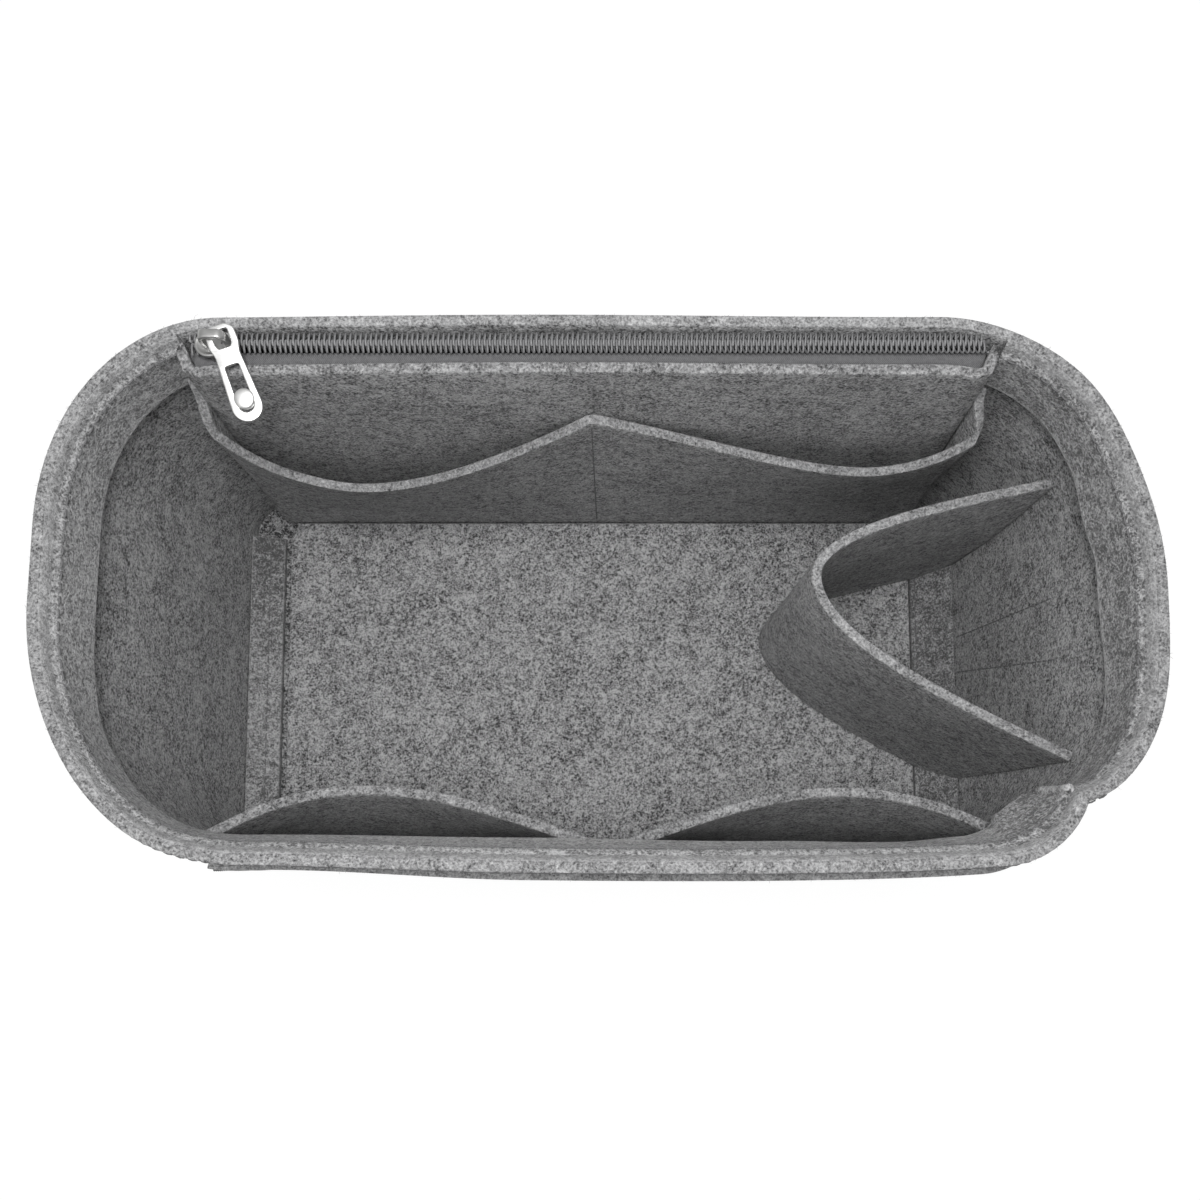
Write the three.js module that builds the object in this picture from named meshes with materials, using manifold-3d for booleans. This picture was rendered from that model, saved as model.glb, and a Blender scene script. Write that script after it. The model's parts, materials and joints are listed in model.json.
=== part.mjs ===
// Felt purse organizer insert: an open tub of sewn felt panels with a zipped pocket along the back,
// slip pockets at the back and front, a bottle holder at the right end and pockets outside.
// Millimetres, +Z up, +X to the right end, +Y to the zipped back wall.
// The origin is the middle of the bottom face.

import * as THREE from "three";
import { mergeVertices } from "three/addons/utils/BufferGeometryUtils.js";
import Module from "manifold-3d";

const wasm = await Module();
wasm.setup();
const { lerp, clamp, degToRad, smoothstep } = THREE.MathUtils;

// Driving dimensions

const felt = 3; // thickness of every felt panel
const gap = 0.3; // clearance between sewn layers
const height = 150; // bottom face to rim

const baseHalfLength = 141;
const baseHalfDepth = 73;
const baseCorner = 14;
const endFlare = 9; // how far the rim stands out over the base, at each end
const backFlare = 2; // and at the back and front
const frontFlare = 1;
// The rim has slumped into uneven curves. Corner radii along X, and along Y at the back.
const rimBackRight = [58, 76];
const rimBackLeft = [48, 58];
const rimFrontLeftAlong = 58;
const rimFrontRightAlong = 44;
const rimLeftFlat = 20; // straight left between the two curves of an end
const rimRightFlat = 8;

const frontLeftSeam = 5.5; // where the panels join, as stations of the ring path below
const frontRightSeam = 7.55;
const backRightSeam = 2;
const backLeftSeam = 3;
const pinchDepth = 8; // the front right seam is drawn in at the rim
const pinchReach = 7;

const padEndGap = 3.7; // loose felt pad on the floor, short of the feet of the end walls
const padCorner = 6;
const padSlack = 0.7; // from the pad to the pocket panels
const seamFlange = 8.5; // turned-in foot of the end walls
const seamFlangeHalfLength = 50;

const facingDrop = 22; // depth of the strip sewn inside the rim
const facingLeftEnd = 3.2; // stations where the strip tucks behind the zipped panel
const facingRightEnd = 9.78;

const zipGap = 8.8; // back wall to zipped panel, at the rim
const zipPanelEndInset = 39.5; // ends of its top, in from the rim's ends; its foot takes the base's straight
const zipPanelDrop = 3; // top of the zipped panel below the rim
const zipPanelEndBend = 4; // its ends bend back to the wall over this length
const zipPanelShift = -2.5; // its top is sewn off the middle
const pocketTop = 119; // slip pockets, at their seams
const backPocketDip = [38, 23]; // how far the two mouths are scooped, left and right
const backPocketEndRise = [13, 8]; // how far the ends of the mouths are sewn above their seam
const backPocketBulge = [10, 9];
const backPocketLow = [0.64, 0.75]; // where each mouth is lowest, from the seam to the end
const frontPocketDip = [14, 14];
const frontPocketBulge = [16.5, 17.5];
const frontPocketLow = [0.57, 0.6];
const frontPocketEnds = [-113, 118]; // of its mouth; its foot takes the base's straight
const pocketFullness = { back: 1, front: 0.75 }; // below 1, the belly keeps full towards its seams
const mouthScoop = 1.7; // above 1, the mouth is rounder where it is lowest

const holderTop = 110;
const holderApex = new THREE.Vector2(65, 14); // tip of the bottle holder, outside face
const holderBack = 44.3; // where it is sewn to the right end wall
const holderFront = -42.4;
const holderRound = [15, 20]; // breadth of the tip, to the back and to the front
const holderSweep = 38; // fullness of the arms

const frontSleeveTop = 118; // slip pocket outside the front wall
const frontSleeveSpan = [5.84, 7.2];
const frontSleeveBulge = 0.2;
const penSleeveTop = 95; // pen sleeve outside the right end wall
const penSleeveHalfWidth = 27;
const penSleeveMiddle = 5;
const penSleeveBulge = 1.2;

const tapeEndInset = 4.5; // ends of the woven tapes, in from those of the zipped panel
const coilEndInset = 1; // end of the coils, in from the tapes
const tapeThickness = 0.7;
const tapeFlange = 9;
const coilHalfWidth = 2.9;
const coilHeight = 2.2;
const coilPitch = 1.4;
const coilSpine = 0.8;
const coilOverlap = 0.9; // how far each tooth passes the middle
const toothRoot = 0.72;
const toothHead = 0.46;
const tapeDrop = 4.6; // tape below the rim
const tapeSplit = 0.8; // half the slit between the tapes

const sliderLength = 11;
const sliderParked = 5.5; // middle of the parked slider, in from the left end of the tapes
const sliderWall = 1.2;
const sliderLip = 0.8;
const sliderNeck = 2.6;
const sliderClearance = 0.3;
const bridgeRadius = 1;
const bridgeRise = 5; // bridge bar above the slider's top plate
const bridgeSpan = 7.6;
const bridgeLeg = 1.5;

const pullLength = 22.5; // bridge bar to tip
const pullThickness = 1.1;
const pullNeckHalfWidth = 2.9;
const pullTipRadius = 4.2;
const pullEyeHalfWidth = 4.3;
const pullRail = 1.4;
const pullEyeLength = 5.2;
const pullSlot = [8.6, 19.4];
const pullSlotHalfWidth = 1.9;
const pullSlack = 0.8; // play of the eye on the bridge bar
const pullSlope = degToRad(13); // shallow, so that the bead swivels clear of the felt
const pullYaw = degToRad(17); // the pull hangs askew over the panel
const beadRadius = 2.7;
const beadDome = 0.9;
const beadAt = 17;

// Materials

const feltGrey = new THREE.MeshStandardMaterial({ color: 0x6f6f70, roughness: 0.95, metalness: 0 });
const padGrey = new THREE.MeshStandardMaterial({ color: 0x828283, roughness: 0.95, metalness: 0 });
const tapeGrey = new THREE.MeshStandardMaterial({ color: 0x5a5a5c, roughness: 0.8, metalness: 0 });
const coilGrey = new THREE.MeshStandardMaterial({ color: 0x55565a, roughness: 0.45, metalness: 0 });
const nickel = new THREE.MeshStandardMaterial({ color: 0xd4d4d2, roughness: 0.25, metalness: 1 });

// The ring path round the tub. Whole stations are the ends of its eight stretches, counted from the
// front of the right side: right, back right corner, back, back left, left, front left, front, front right.

const rimHalfLength = baseHalfLength + endFlare;
const rimHalfDepth = baseHalfDepth + (backFlare + frontFlare) / 2;
const frontRadius = (backCorner, flat) => 2 * rimHalfDepth - backCorner[1] - flat;
const rimFrontLeft = [rimFrontLeftAlong, frontRadius(rimBackLeft, rimLeftFlat)];
const rimFrontRight = [rimFrontRightAlong, frontRadius(rimBackRight, rimRightFlat)];

const baseRing = {
  halfLength: baseHalfLength,
  halfDepth: baseHalfDepth,
  middle: 0,
  corners: Array(4).fill([baseCorner, baseCorner]),
};
const rimRing = {
  halfLength: rimHalfLength,
  halfDepth: rimHalfDepth,
  middle: (backFlare - frontFlare) / 2,
  corners: [rimBackRight, rimBackLeft, rimFrontLeft, rimFrontRight],
};
const cornerSigns = [[1, 1], [-1, 1], [-1, -1], [1, -1]];

// A quarter ellipse of the ring, or the straight stretch between two of them.
function ringPoint(ring, station) {
  const around = ((station % 8) + 8) % 8;
  const stretch = Math.floor(around);
  const along = around - stretch;
  const arcPoint = (corner, turn) => {
    const [rx, ry] = ring.corners[corner];
    const [sx, sy] = cornerSigns[corner];
    const angle = ((corner + turn) * Math.PI) / 2;
    return new THREE.Vector2(
      sx * (ring.halfLength - rx) + rx * Math.cos(angle),
      ring.middle + sy * (ring.halfDepth - ry) + ry * Math.sin(angle),
    );
  };
  if (stretch % 2 === 1) return arcPoint((stretch - 1) / 2, along);
  const next = stretch / 2;
  return arcPoint((next + 3) % 4, 1).lerp(arcPoint(next, 0), along);
}

function ringAt(station, z) {
  return ringPoint(baseRing, station).lerp(ringPoint(rimRing, station), z / height);
}

const stationStep = 1e-3;
function ringTangent(station, z) {
  const start = Math.floor(station + 1e-9);
  const inside = clamp(station, start + stationStep, start + 1 - stationStep);
  return ringAt(inside + stationStep, z).sub(ringAt(inside - stationStep, z)).normalize();
}

// A point of the wall at a station and height, drawn in from its outer face by inset.
function wallPoint(station, z, inset, slide = 0) {
  const p = ringAt(station, z);
  const t = ringTangent(station, z);
  const outward = new THREE.Vector2(t.y, -t.x);
  const fromSeam = p.distanceTo(ringAt(frontRightSeam, z));
  const around = ((station % 8) + 8) % 8;
  const nearSeam = around > 6 ? Math.exp(-fromSeam / pinchReach) : 0;
  const pinch = pinchDepth * (z / height) ** 2 * nearSeam;
  p.addScaledVector(outward, -inset - pinch).addScaledVector(t, slide);
  return new THREE.Vector3(p.x, p.y, z);
}

// The wall's point where its coordinate along an axis is value, between two stations of a monotonic stretch.
function wallWhere(axis, value, low, high, z, inset) {
  for (let i = 0; i < 40; i += 1) {
    const middle = (low + high) / 2;
    if (wallPoint(middle, z, inset)[axis] < value) low = middle;
    else high = middle;
  }
  return wallPoint(low, z, inset);
}
const rightWallX = (y, z, inset) => wallWhere("y", y, 7.001, 9.999, z, inset).x;
const backWallY = (x, z, inset) => wallWhere("x", x, 3.999, 1.001, z, inset).y;
const frontWallY = (x, z, inset) => wallWhere("x", x, 5.001, 7.4, z, inset).y;

// Solids

function range(from, to, steps) {
  return Array.from({ length: steps + 1 }, (_, i) => lerp(from, to, i / steps));
}

function signedVolume(positions, index) {
  const corner = [0, 1, 2].map(() => new THREE.Vector3());
  let six = 0;
  for (let i = 0; i < index.length; i += 3) {
    corner.forEach((c, k) => c.fromArray(positions, 3 * index[i + k]));
    six += corner[0].dot(corner[1].clone().cross(corner[2]));
  }
  return six / 6;
}

// A closed sheet of felt or tape: point(u, v, 0) is one face and point(u, v, 1) the other.
function sheet(us, vs, point) {
  const positions = [];
  const rows = us.length;
  const columns = vs.length;
  const at = (face, i, j) => (face * rows + i) * columns + j;
  for (const face of [0, 1]) {
    for (const u of us) {
      for (const v of vs) positions.push(...point(u, v, face).toArray());
    }
  }
  const index = [];
  const quad = (a, b, c, d) => index.push(a, b, c, a, c, d);
  for (let i = 0; i + 1 < rows; i += 1) {
    for (let j = 0; j + 1 < columns; j += 1) {
      quad(at(0, i, j), at(0, i + 1, j), at(0, i + 1, j + 1), at(0, i, j + 1));
      quad(at(1, i, j), at(1, i, j + 1), at(1, i + 1, j + 1), at(1, i + 1, j));
    }
    quad(at(0, i, 0), at(1, i, 0), at(1, i + 1, 0), at(0, i + 1, 0));
    quad(at(0, i, columns - 1), at(0, i + 1, columns - 1), at(1, i + 1, columns - 1), at(1, i, columns - 1));
  }
  for (let j = 0; j + 1 < columns; j += 1) {
    quad(at(0, 0, j), at(0, 0, j + 1), at(1, 0, j + 1), at(1, 0, j));
    quad(at(0, rows - 1, j), at(1, rows - 1, j), at(1, rows - 1, j + 1), at(0, rows - 1, j + 1));
  }
  if (signedVolume(positions, index) < 0) index.reverse();
  const geometry = new THREE.BufferGeometry();
  geometry.setAttribute("position", new THREE.Float32BufferAttribute(positions, 3));
  geometry.setIndex(index);
  return geometry;
}

function solid(geometry) {
  const bare = geometry.clone();
  bare.deleteAttribute("normal");
  bare.deleteAttribute("uv");
  const merged = mergeVertices(bare, 1e-4);
  return new wasm.Manifold(
    new wasm.Mesh({
      numProp: 3,
      vertProperties: new Float32Array(merged.attributes.position.array),
      triVerts: new Uint32Array(merged.index.array),
    }),
  );
}

function geometryOf(manifold) {
  const mesh = manifold.getMesh();
  const geometry = new THREE.BufferGeometry();
  geometry.setAttribute("position", new THREE.Float32BufferAttribute(mesh.vertProperties, 3));
  geometry.setIndex(new THREE.BufferAttribute(mesh.triVerts, 1));
  return geometry;
}

function box(xs, ys, zs) {
  const geometry = new THREE.BoxGeometry(xs[1] - xs[0], ys[1] - ys[0], zs[1] - zs[0]);
  return geometry.translate((xs[0] + xs[1]) / 2, (ys[0] + ys[1]) / 2, (zs[0] + zs[1]) / 2);
}

function slab(shape, bottom, thickness, curveSegments = 8) {
  const settings = { depth: thickness, bevelEnabled: false, curveSegments };
  return new THREE.ExtrudeGeometry(shape, settings).translate(0, 0, bottom);
}

function roundedRectangle(halfLength, halfDepth, radius) {
  const shape = new THREE.Shape();
  cornerSigns.forEach(([sx, sy], corner) => {
    const angle = (corner * Math.PI) / 2;
    const [cx, cy] = [sx * (halfLength - radius), sy * (halfDepth - radius)];
    shape.absarc(cx, cy, radius, angle, angle + Math.PI / 2, false);
  });
  return shape;
}

const organizer = new THREE.Group();
function add(name, geometry, material, parent = organizer) {
  const mesh = new THREE.Mesh(geometry, material);
  mesh.name = name;
  parent.add(mesh);
  return mesh;
}

// Floor

const wallFoot = felt + gap; // the walls stand on the base panel
const floorTop = wallFoot + felt; // upper face of the loose pad

add("base_panel", slab(roundedRectangle(baseHalfLength, baseHalfDepth, baseCorner), 0, felt), feltGrey);

// Walls, four panels that meet at sewn corners

// Stations from one seam to the next, with the given steps on each whole stretch they cross.
function stations(from, to, cornerSteps, straightSteps) {
  const list = [from];
  for (let start = Math.floor(from); start < to; start += 1) {
    const steps = ((start % 8) + 8) % 2 === 1 ? cornerSteps : straightSteps;
    for (let i = 0; i <= steps; i += 1) {
      const station = start + i / steps;
      if (station > from + 0.02 && station < to - 0.02) list.push(station);
    }
  }
  list.push(to);
  return [...new Set(list)];
}

// A strip that follows the wall from one station to another, between two heights and two insets.
function wallStrip(from, to, zs, insets, cornerSteps = 8, straightSteps = 2) {
  const us = stations(from, to, cornerSteps, straightSteps);
  return sheet(us, zs, (station, z, face) => {
    const slide = station === from ? gap / 2 : station === to ? -gap / 2 : 0;
    return wallPoint(station, z, insets[face], slide);
  });
}

const facingFoot = height - facingDrop;
const wallHeights = [...range(wallFoot, facingFoot, 3), height];
const wallFaces = [0, felt];
add("back_wall", wallStrip(backRightSeam, backLeftSeam, wallHeights, wallFaces), feltGrey);
add("front_wall", wallStrip(frontLeftSeam, frontRightSeam, wallHeights, wallFaces), feltGrey);

// An end wall has a turned-in foot, which is sewn down to the base panel.
function endWall(side, from, to) {
  const wall = solid(wallStrip(from, to, wallHeights, wallFaces, 8, 4));
  const footFace = baseHalfLength - felt;
  const xs = [side * (footFace + felt / 2), side * (footFace - seamFlange)].sort((a, b) => a - b);
  const ys = [-seamFlangeHalfLength, seamFlangeHalfLength];
  return geometryOf(wall.add(solid(box(xs, ys, [wallFoot, wallFoot + felt]))));
}
add("left_end_wall", endWall(-1, backLeftSeam, frontLeftSeam), feltGrey);
add("right_end_wall", endWall(1, frontRightSeam, backRightSeam + 8), feltGrey);

// Strip sewn inside the rim, in two lengths that meet at the front right seam

const facingFaces = [felt + gap, 2 * felt + gap];
const facingHeights = [facingFoot, height];
add("rim_facing_left", wallStrip(facingLeftEnd, frontRightSeam, facingHeights, facingFaces), feltGrey);
add("rim_facing_right", wallStrip(frontRightSeam, facingRightEnd, facingHeights, facingFaces), feltGrey);

// Zipped pocket along the back wall

const backFace = baseHalfDepth + backFlare - felt; // inner face of the back wall
const zipPanelTop = height - zipPanelDrop;
const zipPanelHalfLength = rimHalfLength - zipPanelEndInset;

const panelRise = (z) => (z - wallFoot) / (zipPanelTop - wallFoot);
const panelMiddle = (z) => zipPanelShift * panelRise(z);
const panelHalfLength = (z) => lerp(baseHalfLength - baseCorner, zipPanelHalfLength, panelRise(z));

// Back face of the zipped panel: sewn to the wall at its foot and ends, and held off it by the zip.
function zipPanelY(x, z) {
  const lean = (zipGap - 2 * gap) * panelRise(z);
  const fromEnd = panelHalfLength(z) - Math.abs(x - panelMiddle(z));
  return backWallY(x, z, felt + 2 * gap) - lean * smoothstep(fromEnd, 0, zipPanelEndBend);
}

// Stations across a panel from -1 at its left end to 1 at its right, closer where the ends bend.
const panelEnd = [-1, -0.985, -0.97, -0.955, -0.94];
const panelStations = [...panelEnd, ...range(-0.86, 0.86, 22), ...panelEnd.map((u) => -u).reverse()];
add(
  "zip_pocket_panel",
  sheet(panelStations, range(wallFoot, zipPanelTop, 3), (u, z, face) => {
    const x = panelMiddle(z) + u * panelHalfLength(z);
    return new THREE.Vector3(x, zipPanelY(x, z) - face * felt, z);
  }),
  feltGrey,
);

// Slip pockets: one panel with a seam down its middle, so that each half bellies out at its mouth

// Slackness at u: none at the seam and the ends, and 1 where the mouth is lowest.
function slackness(u, low) {
  return Math.max(Math.sin(Math.PI * Math.abs(u) ** (Math.log(0.5) / Math.log(low))), 0);
}

// Scoop of the mouth at u: 1 where it is lowest, running straight up to the seam and the ends.
function scoop(u, low) {
  const share = Math.abs(u) < low ? Math.abs(u) / low : (1 - Math.abs(u)) / (1 - low);
  return 1 - (1 - share) ** mouthScoop;
}

// A pocket panel whose mouth is scooped and bellies out: seat(u, z) is the point that it is sewn against.
function pocketPanel({ dips, endRises, bulges, lows, fullness, facing, seat }) {
  return sheet(panelStations, range(0, 1, 4), (u, v, face) => {
    const half = u < 0 ? 0 : 1;
    const ends = endRises[half] * smoothstep(Math.abs(u), lows[half], 1);
    const z = lerp(wallFoot, pocketTop + ends - dips[half] * scoop(u, lows[half]), v);
    const [x, y] = seat(u, z);
    const belly = bulges[half] * slackness(u, lows[half]) ** fullness * v ** 1.4;
    return new THREE.Vector3(x, y + facing * (belly + face * felt), z);
  });
}

function backPocketSeat(u, z) {
  const x = panelMiddle(z) + u * panelHalfLength(z);
  return [x, zipPanelY(x, z) - felt - gap];
}
const backPocket = {
  dips: backPocketDip,
  endRises: backPocketEndRise,
  bulges: backPocketBulge,
  lows: backPocketLow,
  fullness: pocketFullness.back,
  facing: -1,
  seat: backPocketSeat,
};
add("back_pocket_panel", pocketPanel(backPocket), feltGrey);

function frontPocketSeat(u, z) {
  const footEnd = baseHalfLength - baseCorner;
  const rise = (z - wallFoot) / (pocketTop - wallFoot);
  const left = lerp(-footEnd, frontPocketEnds[0], rise);
  const right = lerp(footEnd, frontPocketEnds[1], rise);
  const x = lerp(left, right, (u + 1) / 2);
  return [x, frontWallY(x, z, felt + gap)];
}
const frontPocket = {
  dips: frontPocketDip,
  endRises: [0, 0],
  bulges: frontPocketBulge,
  lows: frontPocketLow,
  fullness: pocketFullness.front,
  facing: 1,
  seat: frontPocketSeat,
};
add("front_pocket_panel", pocketPanel(frontPocket), feltGrey);

// Loose pad on the floor, between the pockets and the turned-in feet of the end walls

const padFront = 2 * felt + gap + padSlack - baseHalfDepth;
const padBack = zipPanelY(0, floorTop) - 2 * felt - gap - padSlack;
const padHalfLength = baseHalfLength - felt - seamFlange - padEndGap;
const padShape = roundedRectangle(padHalfLength, (padBack - padFront) / 2, padCorner);
const pad = slab(padShape, wallFoot, felt).translate(0, (padFront + padBack) / 2, 0);
add("base_pad", pad, padGrey);

// Bottle holder: a strip on edge that loops out from the right end wall

const holderStations = range(0, 2, 24);
const holderHeights = range(floorTop + gap, holderTop, 3);

// Plan of the loop at height z: two cubic arms from the wall to the tip.
function holderPlan(station, z) {
  const onBack = station <= 1;
  const y = onBack ? holderBack : holderFront;
  const wall = new THREE.Vector2(rightWallX(y, z, felt + 2 * gap), y);
  const breadth = onBack ? holderRound[0] : -holderRound[1];
  const tipHandle = new THREE.Vector2(holderApex.x, holderApex.y + breadth);
  const wallHandle = wall.clone().lerp(tipHandle, holderSweep / wall.distanceTo(tipHandle));
  const arm = new THREE.CubicBezierCurve(wall, wallHandle, tipHandle, holderApex);
  const t = onBack ? station : 2 - station;
  const tangent = arm.getTangent(t).multiplyScalar(onBack ? 1 : -1);
  return { point: arm.getPoint(t), inward: new THREE.Vector2(-tangent.y, tangent.x) };
}

add(
  "bottle_holder",
  sheet(holderStations, holderHeights, (station, z, face) => {
    const { point, inward } = holderPlan(station, z);
    point.addScaledVector(inward, face * felt);
    const limit = rightWallX(point.y, z, felt + 2 * gap);
    return new THREE.Vector3(Math.min(point.x, limit), point.y, z);
  }),
  feltGrey,
);

// Pockets outside the tub

const sleeveFoot = gap;

// Fullness of a sleeve: none at its ends and foot, most in the middle of its mouth.
function swell(u, v, bulge) {
  return bulge * Math.sin(Math.PI * clamp(u, 0, 1)) ** 0.7 * v;
}

const sleeveStations = stations(frontSleeveSpan[0], frontSleeveSpan[1], 8, 4);
add(
  "front_sleeve",
  sheet(sleeveStations, range(0, 1, 3), (station, v, face) => {
    const u = (station - frontSleeveSpan[0]) / (frontSleeveSpan[1] - frontSleeveSpan[0]);
    const z = lerp(sleeveFoot, frontSleeveTop, v);
    return wallPoint(station, z, -gap - swell(u, v, frontSleeveBulge) - (1 - face) * felt);
  }),
  feltGrey,
);

add(
  "pen_sleeve",
  sheet(range(0, 1, 12), range(0, 1, 3), (u, v, face) => {
    const y = penSleeveMiddle + lerp(-penSleeveHalfWidth, penSleeveHalfWidth, u);
    const z = lerp(sleeveFoot, penSleeveTop, v);
    const x = rightWallX(y, z, -2 * gap) + swell(u, v, penSleeveBulge) + (1 - face) * felt;
    return new THREE.Vector3(x, y, z);
  }),
  feltGrey,
);

// Zip: two woven tapes, each with a row of coil teeth that meet in the middle

const tapeTop = height - tapeDrop;
const zipHalfLength = zipPanelHalfLength - tapeEndInset;
const coilEnd = zipPanelShift + zipHalfLength - coilEndInset;
const sliderRest = zipPanelShift - zipHalfLength + sliderParked;
const panelFace = backFace - zipGap; // back face of the zipped panel at the zip
const zipMiddle = (backFace + panelFace) / 2;

// L-shaped strip: flat from the slit to the felt that it is sewn to, then down along the felt.
function tape(direction) {
  const ends = [zipPanelShift - zipHalfLength, zipPanelShift + zipHalfLength];
  return sheet(range(ends[0], ends[1], 40), [0, 1, 2], (x, corner, face) => {
    const z = tapeTop - (corner < 2 ? face * tapeThickness : tapeFlange);
    const wall = backWallY(x, z, felt + 2 * gap) - zipMiddle;
    const panel = zipMiddle - zipPanelY(x, z) - gap;
    const across = corner > 0 ? (direction > 0 ? wall : panel) - face * tapeThickness : tapeSplit;
    return new THREE.Vector3(x, zipMiddle + direction * across, z);
  });
}
add("zip_tape_back", tape(1), tapeGrey);
add("zip_tape_front", tape(-1), tapeGrey);

// A row of teeth on its spine. The rows start in the slider's throat and interleave by half a pitch.
const sliderX = [sliderRest - sliderLength / 2, sliderRest + sliderLength / 2];
const throat = sliderX[0] + sliderNeck + 1.5;
function teeth(direction) {
  const start = throat + (direction > 0 ? 0 : coilPitch / 2);
  const count = Math.floor((coilEnd - start) / coilPitch);
  const spineOuter = direction * coilHalfWidth;
  const spineInner = direction * (coilHalfWidth - coilSpine);
  const tip = -direction * coilOverlap;
  const row = new THREE.Shape();
  row.moveTo(start, spineOuter);
  row.lineTo(start, spineInner);
  for (let i = 0; i < count; i += 1) {
    const middle = start + (i + 0.5) * coilPitch;
    row.lineTo(middle - toothRoot / 2, spineInner);
    row.lineTo(middle - toothHead / 2, tip);
    row.lineTo(middle + toothHead / 2, tip);
    row.lineTo(middle + toothRoot / 2, spineInner);
  }
  const end = start + count * coilPitch;
  row.lineTo(end, spineInner);
  row.lineTo(end, spineOuter);
  return slab(row, tapeTop + gap, coilHeight).translate(0, zipMiddle, 0);
}
add("zip_teeth_back", teeth(1), coilGrey);
add("zip_teeth_front", teeth(-1), coilGrey);

// Slider: two plates joined by the neck that splits the coil, with lips over it and a bridge for the pull

const slider = new THREE.Group();
slider.position.set(sliderRest, zipMiddle, 0);
organizer.add(slider);

const roofUnder = tapeTop + gap + coilHeight + sliderClearance;
const roofTop = roofUnder + sliderWall;
const soleTop = tapeTop - tapeThickness - sliderClearance;
const roofHalfWidth = coilHalfWidth + sliderClearance + sliderLip;
const soleHalfWidth = (backFace - panelFace) / 2 - 2 * gap - tapeThickness - sliderClearance;
const bridgeHeight = roofTop + bridgeRise;

// Plan of a slider plate: round shoulders at the neck end, narrower at the tail.
function platePlan(halfWidth) {
  const plan = new THREE.Shape();
  const front = -sliderLength / 2;
  const tail = sliderLength / 2;
  plan.moveTo(tail, -0.8 * halfWidth);
  plan.lineTo(tail, 0.8 * halfWidth);
  plan.lineTo(front + halfWidth, halfWidth);
  plan.absarc(front + halfWidth, 0, halfWidth, Math.PI / 2, (3 * Math.PI) / 2, false);
  return plan;
}

function sliderBody() {
  const front = -sliderLength / 2;
  const roof = solid(slab(platePlan(roofHalfWidth), roofUnder, sliderWall));
  const sole = solid(slab(platePlan(soleHalfWidth), soleTop - sliderWall, sliderWall));
  const neck = new THREE.CylinderGeometry(sliderNeck / 2, sliderNeck / 2, roofUnder - soleTop + 0.4, 12);
  neck.rotateX(Math.PI / 2).scale(1, (2 * (tapeSplit - gap)) / sliderNeck, 1);
  neck.translate(front + 1 + sliderNeck / 2, 0, (roofUnder + soleTop) / 2);
  const lipFoot = tapeTop + sliderClearance;
  const lipX = [front + roofHalfWidth, sliderLength / 2 - 0.5];
  const lipInner = roofHalfWidth - sliderLip;
  const lips = [-1, 1].map((side) => {
    const ys = [side * lipInner, side * roofHalfWidth * 0.995].sort((a, b) => a - b);
    return solid(box(lipX, ys, [lipFoot, roofUnder + 0.2]));
  });
  const bar = new THREE.CylinderGeometry(bridgeRadius, bridgeRadius, bridgeSpan + bridgeLeg, 16);
  bar.rotateZ(Math.PI / 2).translate(0, 0, bridgeHeight);
  const legs = [-1, 1].map((end) => {
    const xs = [(end * bridgeSpan) / 2 - bridgeLeg / 2, (end * bridgeSpan) / 2 + bridgeLeg / 2];
    return solid(box(xs, [-bridgeRadius * 0.95, bridgeRadius * 0.95], [roofTop - 0.2, bridgeHeight]));
  });
  const pieces = [sole, solid(neck), solid(bar), ...lips, ...legs];
  const full = pieces.reduce((sum, piece) => sum.add(piece), roof);
  return geometryOf(full.trimByPlane([0, 1, 0], -roofHalfWidth).trimByPlane([0, -1, 0], -roofHalfWidth));
}
add("slider_body", sliderBody(), nickel, slider);

// Pull: a flat tab whose eye goes round the right leg of the bridge, resting over the zipped panel

const eyeBack = bridgeRadius + pullSlack; // inner edge of the eye behind the bar
const railDrop = bridgeRadius + pullSlack + pullThickness / 2; // tab's middle plane below the bar
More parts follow.
